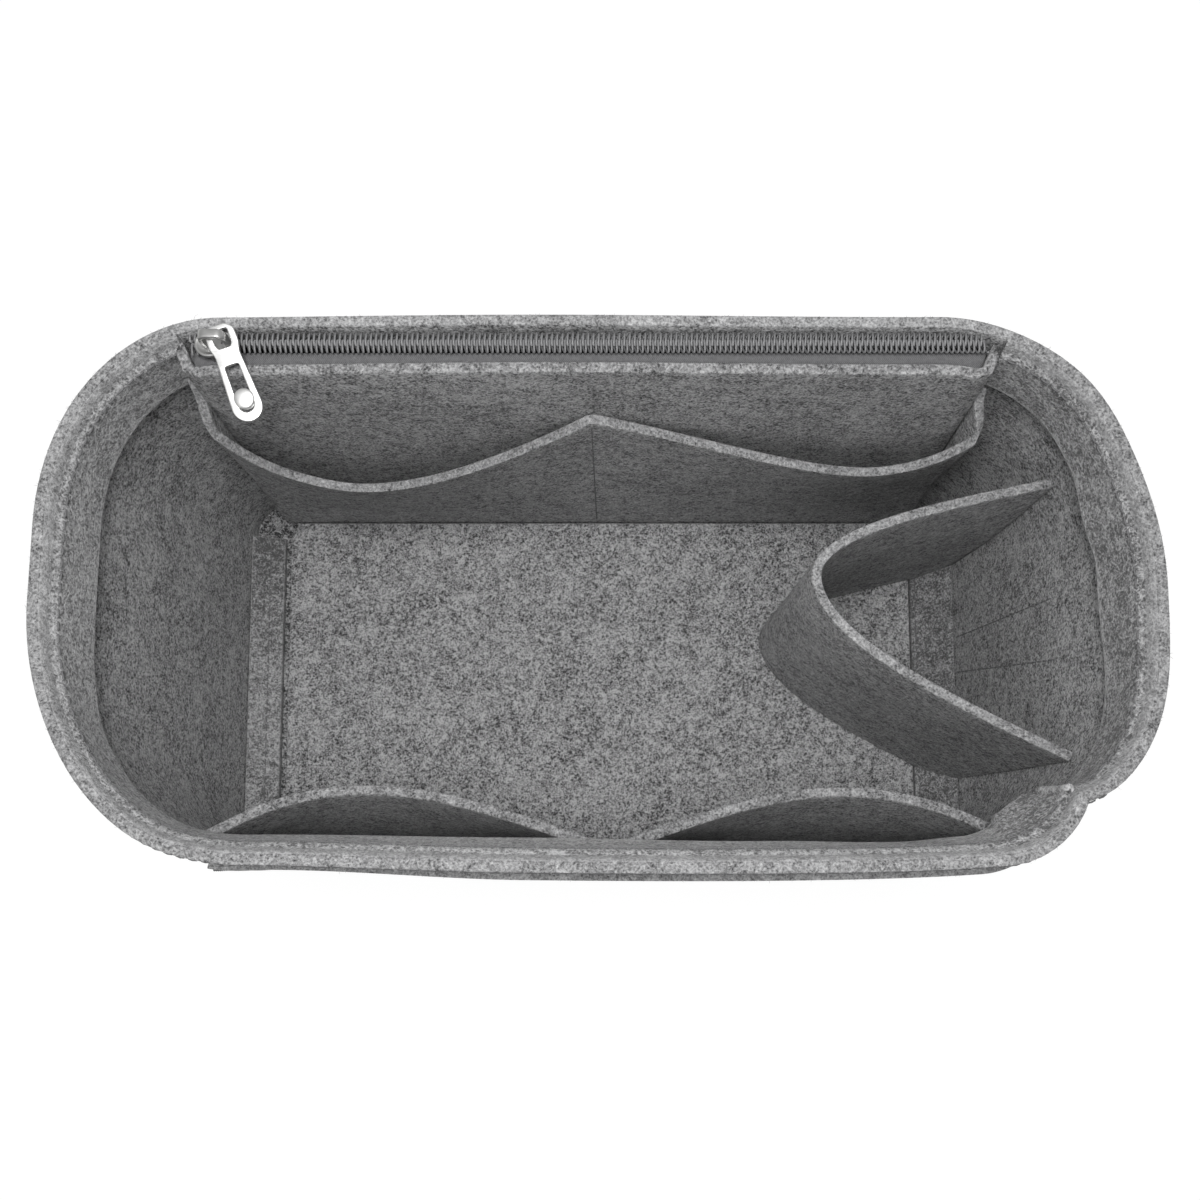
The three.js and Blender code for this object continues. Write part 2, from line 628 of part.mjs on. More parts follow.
// Outline in the tab's own plane: x across, y from the bar to the tip.
function pullOutline() {
  const eyeEnd = -(eyeBack + pullRail);
  const eyeCorner = 2;
  const outline = new THREE.Shape();
  outline.moveTo(-pullEyeHalfWidth + eyeCorner, eyeEnd);
  outline.lineTo(pullEyeHalfWidth - eyeCorner, eyeEnd);
  outline.quadraticCurveTo(pullEyeHalfWidth, eyeEnd, pullEyeHalfWidth, eyeEnd + eyeCorner);
  outline.lineTo(pullEyeHalfWidth, pullEyeLength - eyeBack - 1);
  outline.lineTo(pullNeckHalfWidth, pullEyeLength - eyeBack + 1.5);
  outline.lineTo(pullTipRadius, pullLength - pullTipRadius);
  outline.absarc(0, pullLength - pullTipRadius, pullTipRadius, 0, Math.PI, false);
  outline.lineTo(-pullNeckHalfWidth, pullEyeLength - eyeBack + 1.5);
  outline.lineTo(-pullEyeHalfWidth, pullEyeLength - eyeBack - 1);
  outline.lineTo(-pullEyeHalfWidth, eyeEnd + eyeCorner);
  outline.quadraticCurveTo(-pullEyeHalfWidth, eyeEnd, -pullEyeHalfWidth + eyeCorner, eyeEnd);
  const eyeHalf = pullEyeHalfWidth - pullRail;
  const eye = new THREE.Path();
  eye.moveTo(-eyeHalf, -eyeBack);
  eye.lineTo(-eyeHalf, pullEyeLength - eyeBack - 1.5);
  eye.lineTo(-eyeHalf + 1, pullEyeLength - eyeBack);
  eye.lineTo(eyeHalf - 1, pullEyeLength - eyeBack);
  eye.lineTo(eyeHalf, pullEyeLength - eyeBack - 1.5);
  eye.lineTo(eyeHalf, -eyeBack);
  const slot = new THREE.Path();
  slot.moveTo(-pullSlotHalfWidth, pullSlot[0]);
  slot.lineTo(-pullSlotHalfWidth, pullSlot[1] - pullSlotHalfWidth);
  slot.absarc(0, pullSlot[1] - pullSlotHalfWidth, pullSlotHalfWidth, Math.PI, 0, true);
  slot.lineTo(pullSlotHalfWidth, pullSlot[0]);
  outline.holes.push(eye, slot);
  return outline;
}

const pull = new THREE.Group();
pull.position.set(bridgeSpan / 2, 0, bridgeHeight);
pull.rotation.set(-pullSlope, 0, Math.PI + pullYaw, "ZXY");
slider.add(pull);
add("pull_tab", slab(pullOutline(), -railDrop - pullThickness / 2, pullThickness, 10), nickel, pull);

// Round bead riveted in the end of the slot: a waist that fits the slot and a dome on each face.
function bead() {
  const half = pullThickness / 2 + gap;
  const waist = pullSlotHalfWidth - gap;
  const rise = range(0, 1, 4).map((t) => {
    const angle = (t * Math.PI) / 2;
    return new THREE.Vector2(beadRadius * Math.cos(angle), half + beadDome * Math.sin(angle));
  });
  const upper = [new THREE.Vector2(waist, 0), new THREE.Vector2(waist, half), ...rise];
  const lower = upper.slice(1).reverse().map((p) => new THREE.Vector2(p.x, -p.y));
  lower[0].x = 0;
  upper[upper.length - 1].x = 0;
  const profile = new THREE.LatheGeometry([...lower, ...upper], 20);
  return profile.rotateX(Math.PI / 2).translate(0, beadAt, -railDrop);
}
add("pull_bead", bead(), nickel, pull);

export default organizer;
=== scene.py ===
"""Felt purse organizer insert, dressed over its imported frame.

Every felt panel is a closed sheet worked out on a grid, with soft cut edges, sewn seams and loose fibres.
The zip has woven tapes, two spiral coils, and a nickel slider with its pull. Metres, in the frame's axes.
"""

import json

import bpy
import numpy as np
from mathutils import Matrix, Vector


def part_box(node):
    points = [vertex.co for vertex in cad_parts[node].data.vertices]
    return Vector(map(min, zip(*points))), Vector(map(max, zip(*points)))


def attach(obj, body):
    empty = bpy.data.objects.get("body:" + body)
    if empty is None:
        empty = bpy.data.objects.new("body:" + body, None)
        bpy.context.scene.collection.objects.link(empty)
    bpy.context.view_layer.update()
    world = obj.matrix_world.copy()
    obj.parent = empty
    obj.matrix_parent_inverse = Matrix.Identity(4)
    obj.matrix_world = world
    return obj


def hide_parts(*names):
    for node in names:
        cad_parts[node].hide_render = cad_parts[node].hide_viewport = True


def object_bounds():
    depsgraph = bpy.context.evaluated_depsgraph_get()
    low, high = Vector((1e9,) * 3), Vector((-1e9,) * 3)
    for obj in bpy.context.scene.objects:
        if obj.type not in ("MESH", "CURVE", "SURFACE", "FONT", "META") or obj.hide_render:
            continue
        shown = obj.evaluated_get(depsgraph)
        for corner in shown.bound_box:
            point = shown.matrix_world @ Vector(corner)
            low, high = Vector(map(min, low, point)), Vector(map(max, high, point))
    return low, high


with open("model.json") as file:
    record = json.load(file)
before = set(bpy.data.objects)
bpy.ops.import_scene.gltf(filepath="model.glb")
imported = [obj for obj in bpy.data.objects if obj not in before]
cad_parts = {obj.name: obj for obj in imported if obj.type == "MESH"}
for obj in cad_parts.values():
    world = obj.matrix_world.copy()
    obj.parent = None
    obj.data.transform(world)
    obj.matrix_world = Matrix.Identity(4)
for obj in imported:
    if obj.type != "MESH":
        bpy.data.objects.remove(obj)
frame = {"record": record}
cad_low, cad_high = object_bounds()

MM = 0.001
TAU = 2 * np.pi


# Sizes of the felt tub

FELT = 3.0 * MM
GAP = 0.3 * MM
BASE_LOW, BASE_HIGH = np.array(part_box("base_panel"))
BASE_HALF = (BASE_HIGH - BASE_LOW)[:2] / 2
BASE_CORNER = 14 * MM
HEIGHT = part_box("back_wall")[1][2]
END_FLARE = 9 * MM
BACK_FLARE = 2 * MM
FRONT_FLARE = 1 * MM
RIM_HALF = BASE_HALF + np.array([END_FLARE, (BACK_FLARE + FRONT_FLARE) / 2])
RIM_MIDDLE = np.array([0, (BACK_FLARE - FRONT_FLARE) / 2])
RIM_BACK_RIGHT = np.array([58, 76]) * MM
RIM_BACK_LEFT = np.array([48, 58]) * MM
RIM_LEFT_FLAT = 20 * MM
RIM_RIGHT_FLAT = 8 * MM
RIM_FRONT_LEFT = np.array([58 * MM, 2 * RIM_HALF[1] - RIM_BACK_LEFT[1] - RIM_LEFT_FLAT])
RIM_FRONT_RIGHT = np.array([44 * MM, 2 * RIM_HALF[1] - RIM_BACK_RIGHT[1] - RIM_RIGHT_FLAT])

WALL_FOOT = FELT + GAP
FACING_DROP = 22 * MM
LEAN_POWER = 1.4
RIM_STITCH = 4 * MM
SEAM_SOFT = 0.15 * MM
SEAM_FRONT_LEFT, SEAM_FRONT_RIGHT = 5.5, 7.42
SEAM_BACK_RIGHT, SEAM_BACK_LEFT = 1.785, 3.16
FACING_LEFT_END, FACING_RIGHT_END = 3.165, 9.78
PINCH_DEPTH = 7.6 * MM
PINCH_REACH_FRONT, PINCH_REACH_RIGHT = 21 * MM, 12 * MM
HOLLOW_DEPTH = 3.6 * MM
HOLLOW_START, HOLLOW_LOWEST, HOLLOW_END = -124 * MM, -98 * MM, -20 * MM
HOLLOW_CEILING = 120 * MM
HOLLOW_EASE = 0.6
FULLNESS = ((1.8 * MM, 130 * MM, 54 * MM), (1.2 * MM, 148 * MM, -33 * MM))
FULLNESS_REACH = 20 * MM
UNEVENNESS = 0.35 * MM

ZIP_PANEL_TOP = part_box("zip_pocket_panel")[1][2]
ZIP_PANEL_HALF = RIM_HALF[0] - 39.5 * MM
ZIP_PANEL_SHIFT = -2.5 * MM
ZIP_GAP = 8.8 * MM
ZIP_END_BEND = 4 * MM
POCKET_TOP = 119 * MM

WALL_INSET = FELT + 2 * GAP
FOOT_HALF = BASE_HALF[0] - BASE_CORNER
EDGE_SOFT = 0.5 * MM
LIP_HIGHLIGHT_WIDTH = 1.3 * MM
CELL = 2.2 * MM


# Mesh helpers

def unit(vectors):
    """The vectors, scaled to a length of 1."""
    return vectors / np.linalg.norm(vectors, axis=-1, keepdims=True)


def squared(wave, power):
    """A sine or cosine to a power with its sign kept, which squares off a round if the power is below 1."""
    return np.sign(wave) * np.abs(wave) ** power


def run_along(path):
    """Distance along a path of points, from its start to each of them."""
    return np.concatenate([[0], np.cumsum(np.linalg.norm(np.diff(path, axis=0), axis=1))])


def rows_at(at, run, rows):
    """Rows that are known at each run, worked out at others."""
    return np.stack([np.interp(at, run, column) for column in rows.T], -1)


def read(items, name, width=1, kind=float):
    """A property of all the items of a mesh, in rows where it has more than one value."""
    values = np.empty(width * len(items), dtype=kind)
    items.foreach_get(name, values)
    return values.reshape(-1, width) if width > 1 else values


def new_object(name, data):
    item = bpy.data.objects.new(name, data)
    bpy.context.scene.collection.objects.link(item)
    return item


def make_piece(name, points, faces, material, body, uv=None, weights=None):
    """A smooth mesh object from points, faces as index lists, and per-point uv and named weights."""
    mesh = bpy.data.meshes.new(name)
    mesh.from_pydata(points.tolist(), [], faces)
    mesh.polygons.foreach_set("use_smooth", np.ones(len(mesh.polygons), dtype=bool))
    if uv is not None:
        corners = read(mesh.loops, "vertex_index", kind=np.int32)
        layer = mesh.uv_layers.new(name="cloth")
        layer.data.foreach_set("uv", uv[corners].astype(np.float32).ravel())
    for label, values in (weights or {}).items():
        layer = mesh.attributes.new(label, "FLOAT", "POINT")
        layer.data.foreach_set("value", np.asarray(values, dtype=np.float32).ravel())
    mesh.materials.append(material)
    piece = new_object(name, mesh)
    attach(piece, body)
    return piece


def signed_volume(points, faces):
    """Volume of a closed mesh, by the sum of its corner tetrahedra; negative if it is inside out."""
    tris = np.array([(f[0], f[k], f[k + 1]) for f in faces for k in range(1, len(f) - 1)])
    a, b, c = (points[tris[:, n]] for n in range(3))
    return np.einsum("ij,ij->", a, np.cross(b, c)) / 6


def outward(points, faces):
    """The faces, turned to point out of the closed shape that they make."""
    return faces if signed_volume(points, faces) > 0 else [face[::-1] for face in faces]


def smooth_step(x, low, high):
    t = np.clip((x - low) / (high - low), 0, 1)
    return t * t * (3 - 2 * t)


def eased(x, knots, values):
    """Values at rising knots, with a smooth step from each to the next."""
    i = np.clip(np.searchsorted(knots, x) - 1, 0, len(knots) - 2)
    knots, values = np.asarray(knots), np.asarray(values)
    return values[i] + (values[i + 1] - values[i]) * smooth_step(x, knots[i], knots[i + 1])


def loop_profile(rows, round_share, round_depth):
    """Cross-section of a cut sheet as (share, depth): up a face, over its edge, down the other, and under.

    Share runs 0 to 1 across the sheet's width and depth 0 to 1 through it. Its corners are quarter rounds,
    and the cut edges swell a little. The second half of the loop mirrors the first.
    """
    turn = np.linspace(0, np.pi / 2, 5)[1:]
    rise = 1 - round_share * (1 - np.sin(turn))
    sink = round_depth * (1 - np.cos(turn))
    swell = 0.15 * round_share
    face = np.linspace(round_share, 1 - round_share, rows)
    share = np.concatenate([[-swell], 1 - rise[::-1], face, rise, [1 + swell]])
    depth = np.concatenate([[0.5], sink[::-1], 0 * face, sink, [0.5]])
    share = np.concatenate([share, share[-2:0:-1]])
    depth = np.concatenate([depth, 1 - depth[-2:0:-1]])
    return share, depth


def end_rounding(columns, length, soft, thickness):
    """Shares along a sheet, and how much of its depth each column keeps, so that its ends are round too."""
    turn = np.radians([90, 60, 30])
    near = soft * (1 - np.sin(turn)) / length
    kept = 1 - 2 * soft / thickness * (1 - np.cos(turn))
    inner = np.linspace(soft / length, 1 - soft / length, columns)
    along = np.concatenate([near, inner, 1 - near[::-1]])
    keep = np.concatenate([kept, np.ones(columns), kept[::-1]])
    return along, keep


def ring_quads(rings, around):
    """Quads between rings of around points each: a point, the next in its ring, and the two beyond them."""
    i, k = np.meshgrid(np.arange(rings - 1), np.arange(around), indexing="ij")
    j = (k + 1) % around
    quads = np.stack([i * around + k, i * around + j, (i + 1) * around + j, (i + 1) * around + k], -1)
    return quads.reshape(-1, 4)


def tube_faces(columns, around):
    """Quads of a tube of columns rings with around points each, closed by strips across its two ends."""
    quads = ring_quads(columns, around)[:, [0, 3, 2, 1]]
    half = around // 2
    k = np.arange(1, half - 1)
    strip = np.stack([k, k + 1, around - k - 1, around - k], -1)
    tips = np.array([[0, 1, around - 1], [half - 1, half, half + 1]])
    last = (columns - 1) * around
    faces = quads.tolist() + strip.tolist() + tips.tolist()
    return faces + (last + strip[:, ::-1]).tolist() + (last + tips[:, ::-1]).tolist()


def capped_tube(rings):
    """Points and faces of a tube through rings (count, around, 3) of points, with a cap at each end."""
    count, around = rings.shape[:2]
    points = rings.reshape(-1, 3)
    caps = [list(range(around))[::-1], list(range((count - 1) * around, count * around))]
    return points, outward(points, ring_quads(count, around).tolist() + caps)


def swept_tube(path, across, up, radii, sides):
    """Capped tube along a path: a ring of sides points about each of its points, by two cross axes."""
    angle = np.arange(sides)[:, None] * TAU / sides
    spokes = np.cos(angle) * across[:, None] + np.sin(angle) * up[:, None]
    return capped_tube(path[:, None] + radii[:, None, None] * spokes)


def cloth_sheet(name, node, surface, length, width, material, slot="felt", thickness=FELT, cell=CELL,
                soft=EDGE_SOFT, end_soft=None, tint=0.0, face_tint=0.0, lip=0.0, held="stretched",
                rests_on="base_felt"):
    """A closed sheet over surface(u, v, d): u and v run 0 to 1 along and across it, and d through it.

    Painted light and shade: one value lightens or darkens its cut edges and another its faces, evenly or
    by a function of u, and a painted highlight lightens its far face at the lower edge, fading over a narrow
    width. Length and width are its flat cut; held and rests_on are not used.
    """
    columns = max(int(length / cell), 6)
    rows = max(int(width / cell), 4)
    along, keep = end_rounding(columns, length, soft if end_soft is None else end_soft, thickness)
    share, depth = loop_profile(rows, soft / width, soft / thickness)
    u = along[:, None] + 0 * share
    v = share[None, :] + 0 * along[:, None]
    d = 0.5 + (depth - 0.5)[None, :] * keep[:, None]
    points = np.stack(surface(u, v, d), -1).reshape(-1, 3)
    faces = outward(points, tube_faces(len(along), len(share)))
    cut = np.maximum((np.abs(depth - 0.5) < 0.499)[None, :], (keep < 0.999)[:, None])
    shade = face_tint(u) if callable(face_tint) else face_tint
    # Painted light and shade on the cut edges and faces, and a painted highlight along the lower edge
    painted_light = np.where(cut, tint, shade)
    low = np.clip(1.6 - np.maximum(share, 0) * width / LIP_HIGHLIGHT_WIDTH, 0, 1) * (depth > 0.3)
    painted_light = painted_light + lip * low[None, :]
    uv = np.stack([u * length, v * width], -1).reshape(-1, 2)
    piece = make_piece(name, points, faces, material, "organizer", uv,
                       {"cut_edge": cut, "painted_light": painted_light})
    if node:
        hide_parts(node)
    return piece


# The ring path round the tub, as in the frame: whole stations end its eight stretches

STATIONS = 8
CORNER_SIGNS = np.array([[1, 1], [-1, 1], [-1, -1], [1, -1]])
BASE_RADII = np.full((4, 2), BASE_CORNER)
RIM_RADII = np.stack([RIM_BACK_RIGHT, RIM_BACK_LEFT, RIM_FRONT_LEFT, RIM_FRONT_RIGHT])


def ring(half, radii, middle, station):
    """Point of a ring of four quarter ellipses joined by straights, at a station counted from the right."""
    station = np.mod(station, STATIONS)
    stretch = np.minimum(np.floor(station).astype(int), STATIONS - 1)
    along = station - stretch
    corner = np.where(stretch % 2 == 1, (stretch - 1) // 2, (stretch // 2) % 4)

    def arc(index, turn):
        angle = (index + turn) * np.pi / 2
        centre = middle + CORNER_SIGNS[index] * (half - radii[index])
        return centre + radii[index] * np.stack([np.cos(angle), np.sin(angle)], -1)

    before = arc((corner + 3) % 4, np.ones_like(along))
    after = arc(corner, np.zeros_like(along))
    straight = before + (after - before) * along[..., None]
    return np.where((stretch % 2 == 1)[..., None], arc(corner, along), straight)


def ring_at(station, z):
    """The tub's outer face: the base ring at its foot, blended in a straight line to the rim ring."""
    low = ring(BASE_HALF, BASE_RADII, 0, station)
    high = ring(RIM_HALF, RIM_RADII, RIM_MIDDLE, station)
    return low + (high - low) * (z / HEIGHT)[..., None]


def waves(x, y, z, seed, size):
    """Unevenness of hand-sewn felt: four sines over space, 40 to 130 mm long, in seeded directions."""
    draw = np.random.default_rng(seed)
    total = 0
    for length in (0.13, 0.085, 0.06, 0.042):
        way = draw.normal(size=3)
        way *= TAU / length / np.linalg.norm(way)
        total = total + length * np.sin(way[0] * x + way[1] * y + way[2] * z + draw.uniform(0, TAU))
    return size * total / 0.15


def felt_set(station, point, z):
    """How far the soft wall stands in from its pattern at a ring point, growing with the height.

    It is pinched at the front right seam by an exponential of the distance from it, hollow along the front
    left by a smooth hump over x that eases at the rim, fuller twice at the right, and uneven everywhere.
    """
    x, y = point[..., 0], point[..., 1]
    turn = np.mod(station, STATIONS)
    away = np.linalg.norm(point - ring_at(np.full_like(station, SEAM_FRONT_RIGHT), z), axis=-1)
    reach = np.where(turn < SEAM_FRONT_RIGHT, PINCH_REACH_FRONT, PINCH_REACH_RIGHT)
    pinch = np.where(turn > 6, PINCH_DEPTH * (z / HEIGHT) ** 2 * np.exp(-away / reach), 0)
    hump = smooth_step(x, HOLLOW_START, HOLLOW_LOWEST) * (1 - smooth_step(x, HOLLOW_LOWEST, HOLLOW_END))
    ease = 1 - HOLLOW_EASE * smooth_step(z, HOLLOW_CEILING, HEIGHT)
    hollow = np.where(y < 0, HOLLOW_DEPTH * hump * ease, 0)
    full = sum(
        size * np.exp(-((x - full_x) ** 2 + (y - full_y) ** 2) / FULLNESS_REACH**2)
        for size, full_x, full_y in FULLNESS)
    uneven = waves(x, y, z, 3, UNEVENNESS)
    return pinch + (hollow - full - uneven) * z / HEIGHT


def wall_point(station, z, inset):
    """Point of the tub's wall at a station and height, drawn in from the outer face by inset."""
    station, z, inset = np.broadcast_arrays(station, z, inset)
    step = 1e-3
    start = np.floor(station + 1e-9)
    inside = np.clip(station, start + step, start + 1 - step)
    tangent = unit(ring_at(inside + step, z) - ring_at(inside - step, z))
    out = np.stack([tangent[..., 1], -tangent[..., 0]], -1)
    point = ring_at(station, z)
    point = point - out * (inset + felt_set(station, point, z))[..., None]
    return point[..., 0], point[..., 1], z


def wall_where(axis, value, span, z, inset):
    """The wall's point where a coordinate is value, by bisection over a span of stations."""
    value, z = np.broadcast_arrays(value, z)
    low, high = (np.full(value.shape, end) for end in span)
    for _ in range(24):
        middle = (low + high) / 2
        under = wall_point(middle, z, inset)[axis] < value
        low, high = np.where(under, middle, low), np.where(under, high, middle)
    return wall_point(low, z, inset)


# Stations between which each wall is searched for a place
BACK_SPAN, FRONT_SPAN, RIGHT_SPAN = (3.999, 1.001), (5.001, 7.4), (7.001, 9.999)


def back_wall_y(x, z, inset):
    return wall_where(0, x, BACK_SPAN, z, inset)[1]


def front_wall_y(x, z, inset):
    return wall_where(0, x, FRONT_SPAN, z, inset)[1]


def right_wall_x(y, z, inset):
    return wall_where(1, y, RIGHT_SPAN, z, inset)[0]


# Shader helpers

def new_group(name, inputs, outputs):
    """An empty shader node group with named sockets."""
    group = bpy.data.node_groups.new(name, "ShaderNodeTree")
    for label, kind in inputs:
        group.interface.new_socket(label, in_out="INPUT", socket_type=kind)
    for label, kind in outputs:
        group.interface.new_socket(label, in_out="OUTPUT", socket_type=kind)
    return group, group.nodes.new("NodeGroupInput"), group.nodes.new("NodeGroupOutput")


def put(tree, socket, value):
    """Sets a socket to a plain value, or links it to another socket."""
    if isinstance(value, bpy.types.NodeSocket):
        tree.links.new(value, socket)
    else:
        socket.default_value = value


def add_node(tree, kind, **inputs):
    """A new shader node, with some of its inputs put."""
    node = tree.nodes.new("ShaderNode" + kind)
    for label, value in inputs.items():
        put(tree, node.inputs[label], value)
    return node


def maths(tree, operation, *values):
    node = add_node(tree, "Math")
    node.operation = operation
    for socket, value in zip(node.inputs, values):
        put(tree, socket, value)
    return node.outputs[0]


def noise(tree, vector, scale, detail=2.0, roughness=0.5, distortion=0.0):
    node = add_node(tree, "TexNoise", Vector=vector, Scale=scale, Detail=detail, Roughness=roughness,
                    Distortion=distortion)
    return node.outputs["Fac"]


def turned(tree, vector, rotation, scale):
    return add_node(tree, "Mapping", Vector=vector, Rotation=rotation, Scale=scale).outputs[0]


def attribute(tree, label):
    node = add_node(tree, "Attribute")
    node.attribute_name = label
    return node.outputs["Fac"]


def object_place(tree):
    return add_node(tree, "TexCoord").outputs["Object"]


def shaded(name, **inputs):
    """A new material, its tree and its main shader with some inputs set, an underscore for each space."""
    material = bpy.data.materials.new(name)
    material.use_nodes = True
    bsdf = material.node_tree.nodes["Principled BSDF"]
    for label, value in inputs.items():
        bsdf.inputs[label.replace("_", " ")].default_value = value
    return material, material.node_tree, bsdf


def colour_by(tree, tone, dark, light):
    """Mixes a material's base colour from two greys by a tone."""
    node = add_node(tree, "Mix")
    node.data_type = "RGBA"
    node.clamp_factor = True
    for index, value in ((0, tone), (6, (*dark, 1)), (7, (*light, 1))):
        put(tree, node.inputs[index], value)
    put(tree, tree.nodes["Principled BSDF"].inputs["Base Color"], node.outputs[2])


def bump_by(tree, height, distance, strength=0.6):
    """Bumps a material's normal by a height."""
    node = add_node(tree, "Bump", Strength=strength, Distance=distance, Height=height)
    put(tree, tree.nodes["Principled BSDF"].inputs["Normal"], node.outputs[0])


HAIR_SHARPNESS = 16


def felt_fibre_group():
    """Matted fibres: two sizes of speckle, light curled hairs, clumps and a slow cloud.

    A hair is drawn wherever a slow noise crosses its middle value, so it is a thin winding line. Tone is
    the light and dark of the felt about 0, and Height its relief.
    """
    group, given, result = new_group(
        "felt fibres",
        [("Vector", "NodeSocketVector")],
        [("Tone", "NodeSocketFloat"), ("Height", "NodeSocketFloat")],
    )
    vector = given.outputs["Vector"]

    def about_zero(scale, detail, roughness, distortion, weight):
        value = noise(group, vector, scale, detail, roughness, distortion)
        return maths(group, "MULTIPLY", maths(group, "SUBTRACT", value, 0.5), weight)

    hairs = None
    for turn, scale in (((0.3, 0.5, 0.2), 330), ((1.4, 0.2, 1.3), 420), ((0.4, 1.5, 2.3), 510)):
        slow = noise(group, turned(group, vector, turn, (1, 1, 1)), scale, 1, 0.4, 0.9)
        off = maths(group, "ABSOLUTE", maths(group, "SUBTRACT", slow, 0.5))
        line = maths(group, "MAXIMUM", maths(group, "MULTIPLY_ADD", off, -HAIR_SHARPNESS, 1), 0)
        hairs = line if hairs is None else maths(group, "ADD", hairs, line)
    hairs = maths(group, "MULTIPLY_ADD", hairs, 0.3, -0.18)
    speckle = maths(group, "ADD", about_zero(1500, 2, 0.6, 0, 2.0), about_zero(820, 2, 0.55, 0.5, 1.3))
    clumps = maths(group, "ADD", about_zero(240, 2, 0.55, 0.4, 0.8), about_zero(75, 2, 0.5, 0, 0.45))
    fine = maths(group, "ADD", hairs, speckle)
    group.links.new(maths(group, "ADD", fine, clumps), result.inputs["Tone"])
    group.links.new(fine, result.inputs["Height"])
    return group


FELT_FIBRES = felt_fibre_group()


def felt_material(name, dark, light):
    """Grey pressed felt: dark and light fibres, calmer on a cut edge, with painted light and shade from an
    attribute.
    """
    material, tree, _ = shaded(name, Roughness=0.95, Sheen_Weight=0.15, Sheen_Roughness=0.5,
                               Specular_IOR_Level=0.2)
    fibres = add_node(tree, "Group")
    fibres.node_tree = FELT_FIBRES
    put(tree, fibres.inputs["Vector"], object_place(tree))
    calm = maths(tree, "MULTIPLY_ADD", attribute(tree, "cut_edge"), -0.4, 1)
    raised = maths(tree, "ADD", attribute(tree, "painted_light"), 0.5)
    tone = maths(tree, "MULTIPLY_ADD", fibres.outputs["Tone"], calm, raised)
    colour_by(tree, tone, dark, light)
    bump_by(tree, fibres.outputs["Height"], 0.35 * MM)
    return material


felt_grey = felt_material("pressed felt", (0.04, 0.04, 0.041), (0.56, 0.56, 0.565))
felt_pale = felt_material("pad felt", (0.05, 0.05, 0.051), (0.53, 0.53, 0.535))
felt_strip = felt_material("strip felt", (0.1, 0.1, 0.101), (0.5, 0.5, 0.505))
fibre_grey, _, _ = shaded("loose fibre", Roughness=0.8, Base_Color=(0.3, 0.3, 0.305, 1))


def thread_material():
    """Twisted sewing thread: fine slanting bands along the stitch, from the piece's own coordinates."""
    material, tree, _ = shaded("sewing thread", Roughness=0.7)
    ply = noise(tree, turned(tree, object_place(tree), (0.4, 0.6, 0.8), (1, 1, 3)), 2600, 1)
    colour_by(tree, ply, (0.07, 0.07, 0.072), (0.22, 0.22, 0.224))
    bump_by(tree, ply, 0.1 * MM)
    return material


thread_grey = thread_material()


# Floor of the tub

def rounded_plate(half, corner, middle, bottom, dish=0.0, seed=0):
    """A flat plate with round corners: x is a share of the plate's width at that y."""
    def surface(u, v, d):
        y = (2 * v - 1) * half[1]
        past = np.clip(np.abs(y) - (half[1] - corner), 0, corner)
        reach = half[0] - corner + np.sqrt(corner**2 - past**2)
        x = (2 * u - 1) * reach
        return x + middle[0], y + middle[1], bottom + d * FELT + waves(x, y, 0 * x, seed, dish)
    return surface


# Painted shade: the base felt is darkened all over, so that the gaps round the floor pad look shadowed
cloth_sheet("base_felt", "base_panel", rounded_plate(BASE_HALF, BASE_CORNER, (0, 0), 0),
            2 * BASE_HALF[0], 2 * BASE_HALF[1], felt_grey, cell=4 * MM,
            tint=-0.2, face_tint=-0.2, held="laid", rests_on=None)

PAD_LOW, PAD_HIGH = np.array(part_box("base_pad"))
PAD_SHY = 2.1 * MM
PAD_HALF = (PAD_HIGH - PAD_LOW)[:2] / 2 - np.array([PAD_SHY / 2, 0])
PAD_MIDDLE = (PAD_LOW + PAD_HIGH)[:2] / 2 + np.array([PAD_SHY / 2, 0])
pad_surface = rounded_plate(PAD_HALF, 6 * MM, PAD_MIDDLE, PAD_LOW[2], 0.1 * MM, 5)
pad = cloth_sheet("floor_pad", "base_pad", pad_surface, 2 * PAD_HALF[0], 2 * PAD_HALF[1], felt_pale,
                  "pad_felt", held="laid")


# Walls and the strip inside the rim

def even_stations(start, end, z):
    """Length of the ring between two stations at height z, and the station at each share of that length."""
    stations = np.linspace(start, end, 800)
    path = ring_at(stations, np.full_like(stations, z))
    run = run_along(path)
    return run[-1], lambda share: np.interp(share * run[-1], run, stations)


def wall_panel(name, node, start, end, outer=0.0, drop=None, lean=None, roll=0.0, slim=0.0,
               material=felt_grey, **finish):
    """A strip along the wall, from its foot or a drop below the rim, up to the rim.

    Its depth starts at inset outer. A lean swings its lower edge in by that much, up along an arc. A roll
    rounds its inner top edge down by that much, where it is thinned by the share slim.
    """
    foot = WALL_FOOT if drop is None else HEIGHT - drop
    length, station_at = even_stations(start, end, (foot + HEIGHT) / 2)

    def surface(u, v, d):
        station = station_at(u)
        inset = outer + d * FELT * (1 - slim * smooth_step(v, 0.7, 1.0))
        low = foot
        if lean is not None:
            swing = lean(station)
            inset = inset + swing * (1 - np.clip(v, 0, 1)) ** LEAN_POWER
            low = HEIGHT - np.sqrt(drop**2 - swing**2)
        z = low + (HEIGHT - low) * v - roll * d**1.6 * smooth_step(v, 0.75, 1.0)
        return wall_point(station, z, inset)
    return cloth_sheet(name, node, surface, length, HEIGHT - foot, material, end_soft=SEAM_SOFT, **finish)
